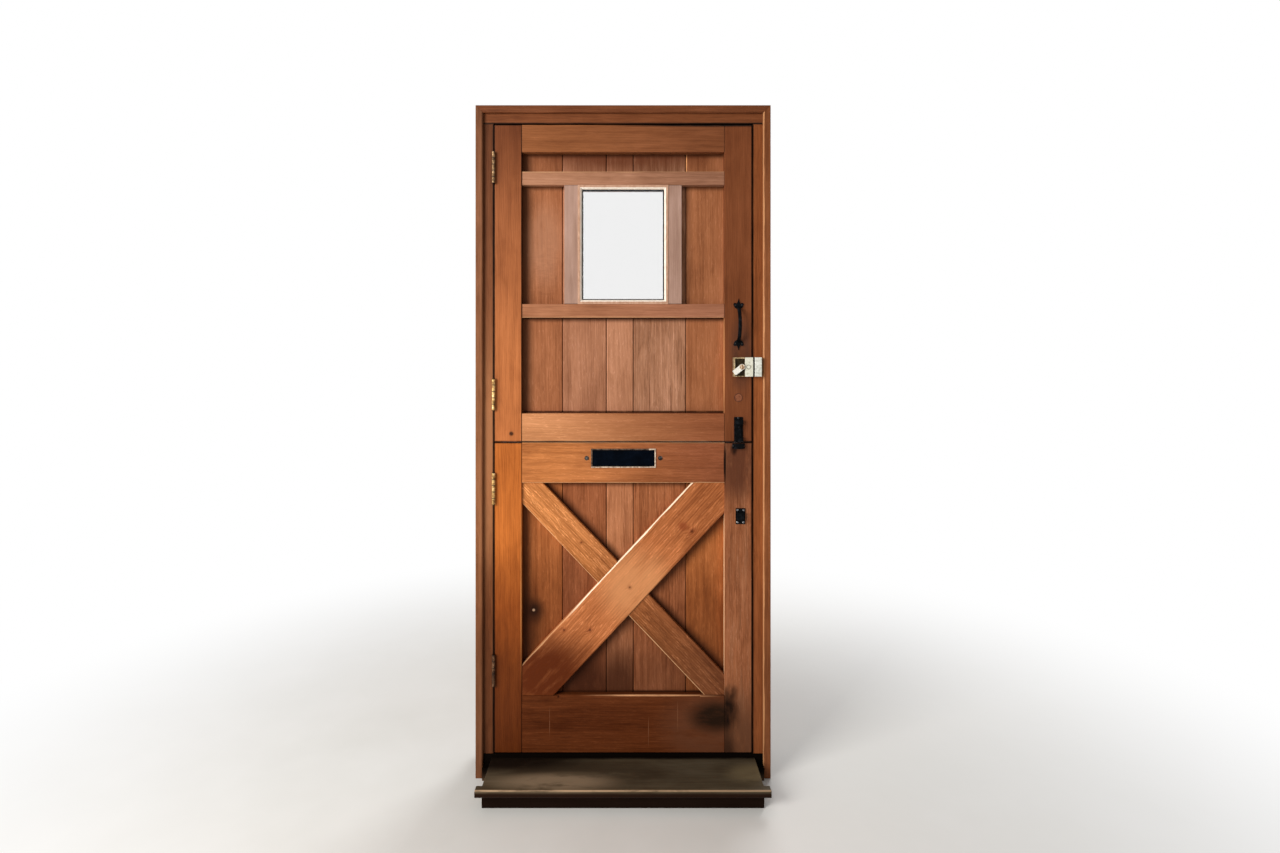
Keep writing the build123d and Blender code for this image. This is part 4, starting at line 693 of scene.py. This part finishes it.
BOARD_DEPTH = 0.016
BOARD_SEAMS = tuple(("X", x, 0.0014) for x in BOARD_JOINTS)
BOARD_MIDDLES = (-0.257, -0.123, -0.01, 0.117, 0.26)
PITH_DEPTH = 0.04
LIVELY_BOARD = 3
UPPER_TONES = ((153, 95, 62), (165, 112, 83), (169, 116, 86), (158, 110, 82), (155, 97, 63))
LOWER_TONES = ((152, 88, 48), (144, 85, 54), (178, 117, 82), (157, 96, 62), (157, 92, 50))
RIPPLE = ((-0.250, BOARD_FACE, 1.62), (0.085, BOARD_DEPTH, 0.16), 0.7)
TOP_SHADE = ((0.0, BOARD_FACE, 1.98), (0.45, BOARD_DEPTH, 0.10), (88, 42, 22), 0.85, 0.3)
PALE_PANEL = ((-0.25, BOARD_FACE, 1.68), (0.09, BOARD_DEPTH, 0.18), (176, 126, 98), 0.5, 0.5)
# Pale line beside the joint of the fourth and fifth boards under the top rail: painted highlight
JOINT_HIGHLIGHT = ((0.2025, BOARD_FACE, 1.94), (0.0032, 0.012, 0.06), (214, 148, 96), 1.0, 0.2)
PANEL_CRACKS = tuple(((x, BOARD_FACE, z), (0.0022, 0.012, 0.10), (92, 50, 30), 0.8, 0.8)
                     for x, z in ((0.084, 1.20), (0.108, 1.44), (0.153, 1.18), (0.186, 1.30)))
BOARD_KNOT = (((-0.300, BOARD_FACE, 0.47), (0.060, BOARD_DEPTH, 0.16), (72, 36, 14), 0.7, 0.3),
              ((-0.286, BOARD_FACE, 0.513), (0.048, BOARD_DEPTH, 0.058), (52, 25, 10), 0.85, 0.2),
              ((-0.286, BOARD_FACE, 0.515), (0.022, BOARD_DEPTH, 0.026), (34, 15, 6), 0.9, 0.2),
              ((-0.286, BOARD_FACE, 0.515), (0.006, BOARD_DEPTH, 0.006), (196, 160, 130), 0.9, 0.4))
DAMP = (0.3, 1.0, 0.9, 0.25, 0.25)


def dirt_and_shade_line(height, reach, strength=1.0):
    """Black line where the boards meet a rail or ledge, on their room face alone: dirt above a rail and
    painted shade under one.
    """
    return (0.0, BOARD_FACE, height), (3.0, 0.012, reach), (18, 9, 5), strength, 0.5


def damp_patch(x, strength):
    """Dark patch of water staining at the foot of a board."""
    return (x, BOARD_FACE, 0.25), (0.14, BOARD_DEPTH, 0.20), (62, 30, 15), strength, 0.2


# Dirt above the rails, and painted shade under the lower ledge and the letter rail
UPPER_DIRT_AND_SHADE = (dirt_and_shade_line(MEETING_RAIL_TOP, 0.009), dirt_and_shade_line(LOW_LEDGE_FOOT, 0.005, 0.8))
LOWER_DIRT_AND_SHADE = (dirt_and_shade_line(BOTTOM_RAIL_TOP, 0.007), dirt_and_shade_line(LETTER_RAIL_FOOT, 0.005, 0.8))
# Painted shade on the boards beside the stiles, ledges, rails and braces, with dirt along the tops of the
# rails
UPPER_CORNERS = ((UPRIGHT, -PANEL_X, 0.045, 0.65), (LEVEL, -TOP_RAIL_FOOT, 0.018, 0.8),
                 (LEVEL, -TOP_LEDGE_FOOT, 0.018, 0.7), (LEVEL, -LOW_LEDGE_FOOT, 0.018, 0.8),
                 (LEVEL, -MEETING_RAIL_TOP, 0.008, 0.95))
LOWER_CORNERS = ((UPRIGHT, -PANEL_X, 0.050, 0.70), (LEVEL, -LETTER_RAIL_FOOT, 0.022, 0.75),
                 (LEVEL, -BOTTOM_RAIL_TOP, 0.010, 0.9),
                 (MAIN_BRACE_ANGLE, span("brace_main", MAIN_BRACE_ANGLE)[1], 0.050, 0.75),
                 (CROSS_BRACE_ANGLE, span("brace_cross", CROSS_BRACE_ANGLE)[0], 0.032, 0.9))
UPPER_STAINS_AND_SHADING = (TOP_SHADE, PALE_PANEL, JOINT_HIGHLIGHT) + PANEL_CRACKS + UPPER_DIRT_AND_SHADE
for index, x in enumerate(BOARD_MIDDLES):
    pith = (-x, PITH_DEPTH)
    lively = index == LIVELY_BOARD
    knot = BOARD_KNOT if index == 0 else ()
    timber(f"upper_board_{index + 1}", UPRIGHT, UPPER_TONES[index], 40 + index, pith=pith, clouds=0.6,
           life=1.35 if lively else 0.7, curls=(RIPPLE,) if index == 0 else (), scratches=0.3,
           stains_and_shading=UPPER_STAINS_AND_SHADING, corners=UPPER_CORNERS, seams=BOARD_SEAMS, through=True, gloss=0.06)
    timber(f"lower_board_{index + 1}", UPRIGHT, LOWER_TONES[index], 50 + index, pith=pith, clouds=0.7,
           life=1.4 if lively else 0.9, height_shade=0.6, scratches=0.35,
           stains_and_shading=(damp_patch(x, DAMP[index]),) + knot + LOWER_DIRT_AND_SHADE,
           corners=LOWER_CORNERS, seams=BOARD_SEAMS, through=True, gloss=0.06)

# Braces

MAIN_KNOTS = ((0.218, 0.0, 0.772, 0.009), (0.021, 0.0, 0.595, 0.005), (-0.187, 0.0, 0.460, 0.006),
              (-0.105, 0.0, 0.460, 0.007))
BRACE_FOOT = ((-0.25, 0.0, 0.32), (0.24, 0.03, 0.19), (88, 37, 10), 1.0, 0.3)
BRACE_MIDDLE = ((0.04, 0.0, 0.60), (0.16, 0.03, 0.16), (214, 148, 98), 0.7, 0.5)
BRACE_BLUSH = ((0.190, 0.0, 0.788), (0.022, 0.03, 0.020), (134, 62, 32), 0.7, 0.3)
# Pale upper-left edge of the main brace: wear, with a near white painted highlight along part of it
BRACE_EDGE = ((-1, 0.003, WORN_AND_LIT_EDGE, 0.5), (-1, 0.0042, (255, 236, 208), 1.0, -0.19, -0.11))
CROSS_KNOTS = ((-0.133, 0.0, 0.735, 0.004),)
timber("brace_main", MAIN_BRACE_ANGLE, (180, 107, 62), 61, knots=MAIN_KNOTS, roughness=0.4, clouds=0.8,
       rings=0.17, ring=0.008, scratches=0.6, arris=BRACE_EDGE,
       stains_and_shading=(BRACE_MIDDLE, BRACE_FOOT, BRACE_BLUSH))
timber("brace_cross", CROSS_BRACE_ANGLE, (191, 122, 70), 62, end_tone=(162, 100, 62), knots=CROSS_KNOTS,
       life=1.3, rings=0.15, ring=0.007, height_shade=0.75, scratches=1.0, arris=((1, 0.003, WORN_AND_LIT_EDGE, 0.7),))

# Glazing beads, with the places of their chamfer and rim outside the sight line

BEAD_FLAT_FROM = 0.0057
BEAD_RIM_FROM = 0.0123
BEAD_BLUR = 0.0005
BEAD_GRAIN = (160, 160, 60)


def bead_paint():
    """Chamfer beside the glass painted pale as the daylight falling on it, with a darker flat, and a light
    rim outside it that is a painted highlight.
    """
    s = Shader("bead_wood")
    from_side = s.math("SUBTRACT", s.math("ABSOLUTE", s.along("X")), SIGHT_X)
    from_end = s.math("SUBTRACT", s.apart(s.along("Z"), WINDOW_Z), SIGHT_Z)
    inset = s.most((from_side, from_end))
    grain = s.noise(s.place, BEAD_GRAIN, 4.0, 0.6)
    flat = s.tones(grain, [(0.3, (166, 122, 98)), (0.7, (200, 160, 136))])
    pale = s.tones(grain, [(0.3, (228, 208, 190)), (0.7, (248, 238, 226))])
    # Pale chamfer: painted daylight; pale rim: painted highlight
    colour = s.mix(s.edge(inset, BEAD_FLAT_FROM, BEAD_BLUR), pale, flat)
    colour = s.tint(colour, (226, 188, 158), s.edge(inset, BEAD_RIM_FROM, BEAD_BLUR))
    return s.coat(colour, grain, 0.4, 0.55, bump=0.3, specular=0.2)


dress("glazing_beads", bead_paint())

# Plug in an old hole

PLUG_RING = (0.0125, 0.0016)
PLUG_SCRATCH = (900, 900, 120)


def plug_paint():
    """Old hole filled level, with a dark line round it and scratches across it."""
    s = Shader("plug_wood")
    ring = s.ring((HARDWARE_X, 0.0, PLUG_Z), *PLUG_RING)
    scratch = s.noise(s.place, PLUG_SCRATCH, 3.0, 0.6, 0.8)
    smear = s.noise(s.place, 160.0, 4.0, 0.6)
    colour = s.tones(smear, [(0.35, (104, 56, 35)), (0.6, (138, 82, 54))])
    colour = s.tint(colour, (150, 94, 62), s.ramp(scratch, 0.56, 0.66, 0.0, 0.5))
    colour = s.tint(colour, (58, 27, 15), ring, 0.85)
    s.paint(colour, s.ramp(smear, 0.3, 0.7, 0.45, 0.6), specular=0.2)
    s.bump(scratch, 0.4, COARSE_RELIEF)
    return s.material


dress("filled_hole_plug", plug_paint())


# Metals

SEED_SHIFT = (1.7, 0.9, 0.4)
FINE_GRAINS = 9
POLISH_RANGE = 0.25
BRASS = ((96, 62, 26), (176, 128, 62), (222, 182, 104))
IRON = ((3, 4, 5), (7, 8, 10), (24, 27, 31))
LETTER = ((1, 3, 8), (2, 6, 14), (7, 13, 24))
BAR_STEEL = ((96, 94, 90), (150, 148, 144), (190, 188, 184))
SCREW_DARK = ((8, 8, 9), (26, 27, 29), (96, 98, 100))
SCREW_LIGHT = ((48, 48, 50), (120, 120, 122), (206, 206, 206))
STUD_DARK = ((14, 12, 11), (44, 40, 38), (150, 146, 142))
SPACER_GREY = ((60, 60, 62), (110, 110, 112), (150, 150, 152))


def metal(name, tones, seed, polish, scale=60.0, metallic=1.0, specular=0.5, bump=0.15):
    """Worn metal whose tones run from tarnish to bright wear."""
    s = Shader(name)
    shift = tuple(seed * step for step in SEED_SHIFT)
    shifted = s.node("ShaderNodeMapping", {0: s.place, 1: shift}).outputs[0]
    patches = s.noise(shifted, scale, 4.0, 0.6)
    grains = s.noise(shifted, scale * FINE_GRAINS, 2.0, 0.6)
    level = s.sway(patches, grains, 0.5)
    colour = s.tones(level, tuple(zip((0.35, 0.52, 0.74), tones)))
    return s.coat(colour, level, polish + POLISH_RANGE, polish, bump, COARSE_RELIEF, metallic=metallic,
                  specular=specular)


dress("rim_cylinder", metal("cylinder_brass", BRASS, 5, polish=0.25))
dress("latch_bolt", metal("latch_bolt_brass", BRASS, 6, polish=0.2))
dress("weather_bar", metal("bar_steel", BAR_STEEL, 12, polish=0.35))
dress("glazing_spacer", metal("spacer_metal", SPACER_GREY, 13, polish=0.4))
iron = metal("black_iron", IRON, 2, polish=0.45, metallic=0.0, specular=0.05, scale=90.0, bump=0.4)
for node in ("pull_handle", "bolt_barrel", "bolt_shoot", "bolt_keeps"):
    dress(node, iron)
letter_black = metal("letter_black", LETTER, 9, polish=0.36, metallic=0.0, specular=0.02, scale=24.0,
                     bump=0.05)
for node in ("letter_flap_inner", "letter_flap_outer", "letter_outer_plate"):
    dress(node, letter_black)

# Hinges: height and shine of each, then half a hinge, its end, one knuckle and the line between two

HINGES = ((1.920, 0.15), (1.205, 0.9), (0.909, 1.0), (0.336, 0.0))
HINGE_HALF = 0.050
HINGE_END = 0.002
KNUCKLE = 0.020
HINGE_LINE = (36, 20, 10)


def hinge_metal():
    """Old brass with dark lines between the knuckles, bright on the two middle hinges."""
    s = Shader("hinge_brass")
    patches = s.noise(s.place, 130.0, 4.0, 0.6)
    wear, lines = [], []
    for centre, shine in HINGES:
        height = s.math("SUBTRACT", s.along("Z"), centre)
        here = s.edge(s.math("ABSOLUTE", height), HINGE_HALF + HINGE_END, -0.001)
        turn = s.math("FRACT", s.math("MULTIPLY_ADD", height, 1 / KNUCKLE, 0.5))
        lines.append(s.times(s.ramp(s.apart(turn, 0.5), 0.41, 0.46), here))
        wear.append(s.times(here, shine))
    bright = s.times(s.most(wear), s.ramp(patches, 0.34, 0.46, 0.5, 1.0))
    bronze = s.tones(patches, [(0.35, (38, 24, 15)), (0.52, (76, 50, 32)), (0.70, (150, 112, 80))])
    gold = s.tones(patches, [(0.35, (150, 108, 58)), (0.52, (206, 168, 104)), (0.7, (244, 222, 170))])
    colour = s.tint(s.mix(bright, bronze, gold), HINGE_LINE, s.most(lines))
    s.paint(colour, s.ramp(patches, 0.35, 0.65, 0.5, 0.3), metallic=0.5, specular=0.3)
    s.bump(patches, 0.3, COARSE_RELIEF)
    return s.material


hinge_brass = hinge_metal()
for node in ("hinge_frame_leaves", "hinge_leaves_upper", "hinge_leaves_lower"):
    dress(node, hinge_brass)

# Night latch: the bay, the side of the case painted dark as shade, its screw and the knob's boss

BAY_X = CASE_X + LATCH_RIM - 0.0004
BAY_Z = LATCH_Z - 0.001
BAY_HALF = 0.0279
BAY_Y = -0.0233
CASE_SHADED_SIDE = CASE_X - 0.00005
SCREW_X = BLOCK_X + 0.01125
SCREW_Y = -0.026
SCREW_RING = (0.0062, 0.0016)
BOSS_Y = -0.025
BOSS_RADII = (0.0105, 0.05, 0.0105)
BOSS_CORE = 0.55


def latch_paint():
    """Worn case with a tan rim, a dark sunk bay, a pale block at the leaf's edge, and its left side painted
    dark as shade.
    """
    s = Shader("latch_case_paint")
    x, y, z = s.split(s.place)
    patches = s.noise(s.place, 140.0, 4.0, 0.6)
    rim = s.tones(patches, [(0.3, (104, 84, 58)), (0.5, (172, 148, 112)), (0.7, (212, 194, 160))])
    block = s.tones(patches, [(0.25, (196, 192, 172)), (0.5, (224, 224, 208)), (0.7, (236, 236, 224))])
    bay = s.tones(patches, [(0.35, (30, 23, 11)), (0.65, (60, 50, 31))])
    colour = s.mix(s.edge(x, BLOCK_X, 0.0004), rim, block)
    sunk = s.times(s.edge(y, BAY_Y, 0.0003), s.edge(x, BAY_X, 0.0004), s.edge(x, BLOCK_X - 0.0001, -0.0002),
                   s.edge(s.apart(z, BAY_Z), BAY_HALF, -0.0003))
    colour = s.mix(sunk, colour, bay)
    ring = s.ring((SCREW_X, SCREW_Y, LATCH_Z), *SCREW_RING)
    colour = s.tint(colour, (104, 96, 80), ring, 0.8)
    # Left side of the case: painted shade
    colour = s.tint(colour, (52, 42, 30), s.edge(x, CASE_SHADED_SIDE, -0.00015))
    return s.coat(colour, patches, 0.45, 0.3, bump=0.15, specular=0.08)


def knob_paint():
    """Pinkish brass boss and pale tab."""
    s = Shader("latch_knob_metal")
    patches = s.noise(s.place, 170.0, 4.0, 0.6)
    boss = s.blob((KNOB_X, BOSS_Y, LATCH_Z), BOSS_RADII, BOSS_CORE)
    brass = s.tones(patches, [(0.40, (70, 44, 28)), (0.50, (186, 146, 106)), (0.62, (240, 220, 192))])
    pale = s.tones(patches, [(0.3, (222, 216, 200)), (0.6, (248, 246, 238))])
    return s.coat(s.mix(s.ramp(boss, 0.3, 0.7), pale, brass), patches, 0.42, 0.26, bump=0.2, metallic=0.3)


dress("latch_case", latch_paint())
dress("latch_knob", knob_paint())

# Keeper on the jamb, with the places of its bright end and of its side painted dark as shade

KEEPER_END = 0.4327
KEEPER_SHADED_SIDE = 0.4114


def keeper_paint():
    """Silver face with a warm end, and its side towards the leaf painted dark as shade."""
    s = Shader("keeper_silver")
    x = s.along("X")
    patches = s.noise(s.place, 130.0, 4.0, 0.6)
    face = s.tones(patches, [(0.3, (186, 188, 178)), (0.55, (222, 225, 216)), (0.75, (240, 242, 236))])
    face = s.tint(face, (190, 178, 130), s.edge(x, KEEPER_END, 0.0005))
    # Side towards the leaf: painted shade
    face = s.tint(face, (26, 20, 14), s.edge(x, KEEPER_SHADED_SIDE, -0.0002))
    return s.coat(face, patches, 0.4, 0.28, bump=0.08)


dress("latch_keeper", keeper_paint())

# Rim of the letter plate, with the places where the light falls on it

RIM_LIT_X = 0.082
RIM_LIT_Z = LETTER_FOOT + 0.0035


def rim_paint():
    """Steel rim, bright to the right and below, dull and brown to the left and above."""
    s = Shader("letter_rim_steel")
    patches = s.noise(s.place, 120.0, 4.0, 0.6)
    dull = s.tones(patches, [(0.35, (44, 34, 28)), (0.65, (112, 92, 78))])
    bright = s.tones(patches, [(0.35, (150, 128, 110)), (0.65, (226, 206, 184))])
    lit = s.most((s.edge(s.along("X"), RIM_LIT_X, 0.002), s.edge(s.along("Z"), RIM_LIT_Z, -0.0015)))
    return s.coat(s.mix(lit, dull, bright), patches, 0.45, 0.3, bump=0.15, metallic=0.3, specular=0.2)


dress("letter_sleeve", rim_paint())

# Rubber and glass

GLASS_TINT = (0.93, 0.93, 0.93, 1.0)
GLASS_IOR = 1.45


def rubber():
    """Soft black rubber with a faint fleck."""
    s = Shader("seal_rubber")
    fleck = s.noise(s.place, 300.0, 2.0)
    return s.coat(s.tones(fleck, [(0.3, (22, 21, 20)), (0.7, (40, 38, 36))]), fleck, 0.7, 0.85, bump=0.2)


def glass():
    """Clear pane with faint dust."""
    s = Shader("window_glass")
    dust = s.ramp(s.noise(s.place, 24.0, 4.0, 0.6), 0.5, 0.8, 0.0, 0.06)
    s.paint(GLASS_TINT, s.math("ADD", dust, 0.02))
    s.skin.inputs["IOR"].default_value = GLASS_IOR
    s.skin.inputs["Transmission Weight"].default_value = 1.0
    return s.material


dress("weather_seal", rubber())
dress("glazing_panes", glass())


# Turned fasteners, with profiles as (share of radius, share of height) points

TURNS = 28
SCREW_FOOT = ((0.0, 0.0), (1.0, 0.0), (1.0, 0.2), (0.94, 0.42), (0.0, 0.42))
SCREW_CROWN = ((0.0, 0.42), (0.94, 0.42), (0.76, 0.74), (0.44, 0.95), (0.0, 1.0))
STUD_HEAD = ((0.0, 0.0), (1.0, 0.0), (1.0, 0.16), (0.94, 0.24), (0.80, 0.27), (0.79, 0.48), (0.70, 0.74),
             (0.50, 0.92), (0.26, 0.99), (0.0, 1.0))
STUD_SHANK = ((0.0, 0.0), (1.0, 0.0), (1.0, 1.0), (0.0, 1.0))
SLOT_WIDTH = 0.26
FIRST_SLOT = 0.5
NEXT_SLOT = 1.1
CREASE = math.radians(35)

# Radius and height of each head and shank, then the faces and the places that they stand on
BIG_SCREW = (0.0038, 0.0022)
SMALL_SCREW = (0.0024, 0.0011)
STUD_SIZE = (0.007, 0.005)
SHANK_SIZE = (0.0025, -0.045)
PLATE_FACE = -0.0025
FINIAL_FACE = -0.003
UPPER_SCREWS = ((HARDWARE_X, PLATE_FACE, 1.1302, BIG_SCREW),) + tuple(
    (x, FINIAL_FACE, z, SMALL_SCREW) for z in (1.3655, 1.4865) for x in (0.3535, 0.3745))
LOWER_SCREWS = tuple((x, PLATE_FACE, z, BIG_SCREW) for z in (0.802, 0.840) for x in (0.361, 0.379)) + tuple(
    (x, PLATE_FACE, 1.0425, SMALL_SCREW) for x in (0.34725, 0.38075))
STUDS = ((-0.115, 0.0, 1.004), (0.117, 0.0, 1.004))
BLACK_ABOVE = 1.0

SCREW_BLACK = metal("screw_black", SCREW_DARK, 14, polish=0.3, scale=240.0, specular=0.2, metallic=0.3)
SCREW_STEEL = metal("screw_steel", SCREW_LIGHT, 15, polish=0.25, scale=240.0)
STUD_STEEL = metal("stud_steel", STUD_DARK, 11, polish=0.12, scale=120.0, metallic=0.6)


def turned(bm, profile, centre, size):
    """Add the solid that a profile makes round a level axis, its height running towards the room."""
    radius, height = size
    rings = []
    for across, up in profile:
        x, y, z = centre[0], centre[1] - up * height, centre[2]
        turns = [2 * math.pi * k / TURNS for k in range(TURNS)] if across else [0.0]
        reach = across * radius
        rings.append([bm.verts.new((x + reach * math.cos(t), y, z + reach * math.sin(t))) for t in turns])
    for first, second in zip(rings, rings[1:]):
        for k in range(TURNS):
            corners = (first[k % len(first)], first[(k + 1) % len(first)], second[(k + 1) % len(second)],
                       second[k % len(second)])
            bm.faces.new(tuple(dict.fromkeys(corners)))


def slotted(bm, centre, size, slope):
    """Add a screw head with a driver's slot across its crown."""
    turned(bm, SCREW_FOOT, centre, size)
    for side in (1, -1):
        crown = bmesh.new()
        turned(crown, SCREW_CROWN, centre, size)
        away = Vector((math.cos(slope), 0, math.sin(slope))) * side
        geometry = crown.verts[:] + crown.edges[:] + crown.faces[:]
        place = Vector(centre) + away * size[0] * SLOT_WIDTH / 2
        cut = bmesh.ops.bisect_plane(crown, geom=geometry, plane_co=place, plane_no=away, clear_inner=True)
        rim = [e for e in cut["geom_cut"] if isinstance(e, bmesh.types.BMEdge)]
        bmesh.ops.edgenet_fill(crown, edges=rim)
        half = bpy.data.meshes.new("half_crown")
        crown.to_mesh(half)
        crown.free()
        bm.from_mesh(half)
        bpy.data.meshes.remove(half)


def make_piece(name, bm, materials, body, node):
    """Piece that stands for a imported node, with any second material on what is above BLACK_ABOVE."""
    bmesh.ops.recalc_face_normals(bm, faces=bm.faces)
    mesh = bpy.data.meshes.new(name)
    bm.to_mesh(mesh)
    bm.free()
    mesh.shade_smooth()
    mesh.set_sharp_from_angle(angle=CREASE)
    for material in materials:
        mesh.materials.append(material)
    for polygon in mesh.polygons:
        polygon.material_index = int(len(materials) > 1 and polygon.center.z > BLACK_ABOVE)
    piece = add_object(name, mesh)
    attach(piece, body)
    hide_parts(node)


def make_screws(name, places, materials, body, node):
    """All the screw heads of one leaf, each with its slot at another slope."""
    bm = bmesh.new()
    for index, (x, y, z, size) in enumerate(places):
        slotted(bm, (x, y, z), size, FIRST_SLOT + NEXT_SLOT * index)
    make_piece(name, bm, materials, body, node)


def make_studs():
    """Dome nuts of the letter plate, each with its shank through the rail."""
    bm = bmesh.new()
    for place in STUDS:
        turned(bm, STUD_HEAD, place, STUD_SIZE)
        turned(bm, STUD_SHANK, place, SHANK_SIZE)
    make_piece("letter_stud_nuts", bm, (STUD_STEEL,), "lower_leaf", "letter_studs")


make_screws("upper_screw_heads", UPPER_SCREWS, (SCREW_BLACK,), "upper_leaf", "upper_leaf_screws")
make_screws("lower_screw_heads", LOWER_SCREWS, (SCREW_STEEL, SCREW_BLACK), "lower_leaf",
            "lower_leaf_screws")
make_studs()


# Rounded arrises, wide on timbers and small on the other pieces

TIMBER_BEVEL = 0.0009
SMALL_BEVEL = 0.0004
BEVEL_SEGMENTS = 2
BEVEL_FROM = math.radians(40)
WELD_DISTANCE = 0.00001
FLAT_LIMIT = math.radians(0.5)
SMALL = ("hinge_frame_leaves", "hinge_leaves_upper", "hinge_leaves_lower", "bolt_barrel", "bolt_shoot",
         "bolt_keeps", "filled_hole_plug", "latch_case", "rim_cylinder", "latch_bolt", "latch_knob",
         "latch_keeper", "letter_flap_inner", "letter_flap_outer", "letter_outer_plate", "letter_sleeve",
         "weather_bar", "pull_handle")
SHARP = ("weather_seal", "glazing_spacer", "glazing_panes", "upper_leaf_screws", "lower_leaf_screws",
         "letter_studs")


def soften(obj, width):
    """Round the arrises of a piece in its modifiers."""
    weld = obj.modifiers.new("weld", "WELD")
    weld.merge_threshold = WELD_DISTANCE
    flat = obj.modifiers.new("flat", "DECIMATE")
    flat.decimate_type = "DISSOLVE"
    flat.angle_limit = FLAT_LIMIT
    bevel = obj.modifiers.new("arris", "BEVEL")
    bevel.width = width
    bevel.segments = BEVEL_SEGMENTS
    bevel.limit_method = "ANGLE"
    bevel.angle_limit = BEVEL_FROM
    bevel.harden_normals = True


for name, obj in NODES.items():
    if name not in SHARP:
        soften(obj, SMALL_BEVEL if name in SMALL else TIMBER_BEVEL)


# Floor, world and lamps

FLOOR_HALF = 7.0
FLOOR_DROP = 0.0005
FLOOR_FADE = (0.7, 2.6)
WHITE = (1.0, 1.0, 1.0, 1.0)
FILL_COLOUR = (1.0, 0.98, 0.95, 1.0)
FILL_STRENGTH = 0.29
LAMP_TARGET = (0, 0, 1.1)
KEY_COLOUR = (1.0, 0.97, 0.92)


def make_floor():
    """Pale studio floor that the camera sees fade to white."""
    mesh = bpy.data.meshes.new("studio_floor")
    corners = [(x * FLOOR_HALF, y * FLOOR_HALF, 0) for x, y in ((-1, -1), (1, -1), (1, 1), (-1, 1))]
    mesh.from_pydata(corners, [], [(0, 1, 2, 3)])
    floor = add_object("studio_floor", mesh)
    floor.location.z = -FLOOR_DROP
    s = Shader("floor_pale")
    cloud = s.noise(s.place, 3.0, 3.0)
    tones = s.tones(cloud, [(0.3, (226, 225, 222)), (0.7, (232, 231, 229))])
    s.paint(tones, s.ramp(cloud, 0.3, 0.7, 0.7, 0.8))
    far = s.ramp(s.vector("LENGTH", s.place, output="Value"), *FLOOR_FADE)
    seen = s.node("ShaderNodeLightPath").outputs["Is Camera Ray"]
    white = s.node("ShaderNodeEmission", {0: WHITE, 1: 1.0}).outputs[0]
    faded = {0: s.times(far, seen), 1: s.skin.outputs[0], 2: white}
    s.feed(s.output.inputs[0], s.node("ShaderNodeMixShader", faded).outputs[0])
    mesh.materials.append(s.material)


def make_world():
    """Soft fill from all round, and white where the camera, metal or glass sees past the object."""
    world = bpy.data.worlds.new("studio_world")
    bpy.context.scene.world = world
    world.use_nodes = True
    g = Graph(world.node_tree)
    rays = g.node("ShaderNodeLightPath").outputs
    seen = g.most([rays[f"Is {kind} Ray"] for kind in ("Camera", "Glossy", "Transmission")])
    fill = g.node("ShaderNodeBackground", {0: FILL_COLOUR, 1: FILL_STRENGTH}).outputs[0]
    white = g.node("ShaderNodeBackground", {0: WHITE, 1: 1.0}).outputs[0]
    shown = g.node("ShaderNodeMixShader", {0: seen, 1: fill, 2: white}).outputs[0]
    g.feed(g.node("ShaderNodeOutputWorld").inputs[0], shown)


def make_lamp(name, place, size, power, colour=WHITE[:3]):
    """Square soft lamp, turned to the middle of the door."""
    data = bpy.data.lights.new(name, "AREA")
    data.size = size
    data.energy = power
    data.color = colour
    lamp = add_object(name, data)
    lamp.location = place
    lamp.rotation_mode = "QUATERNION"
    lamp.rotation_quaternion = (Vector(LAMP_TARGET) - Vector(place)).to_track_quat("-Z", "Y")


make_camera()
make_floor()
make_world()
make_lamp("key", (-2.8, -2.7, 2.05), 2.1, 180.0, KEY_COLOUR)
make_lamp("back", (1.6, 3.4, 2.6), 2.0, 90.0)
bpy.context.scene.view_settings.view_transform = "Standard"
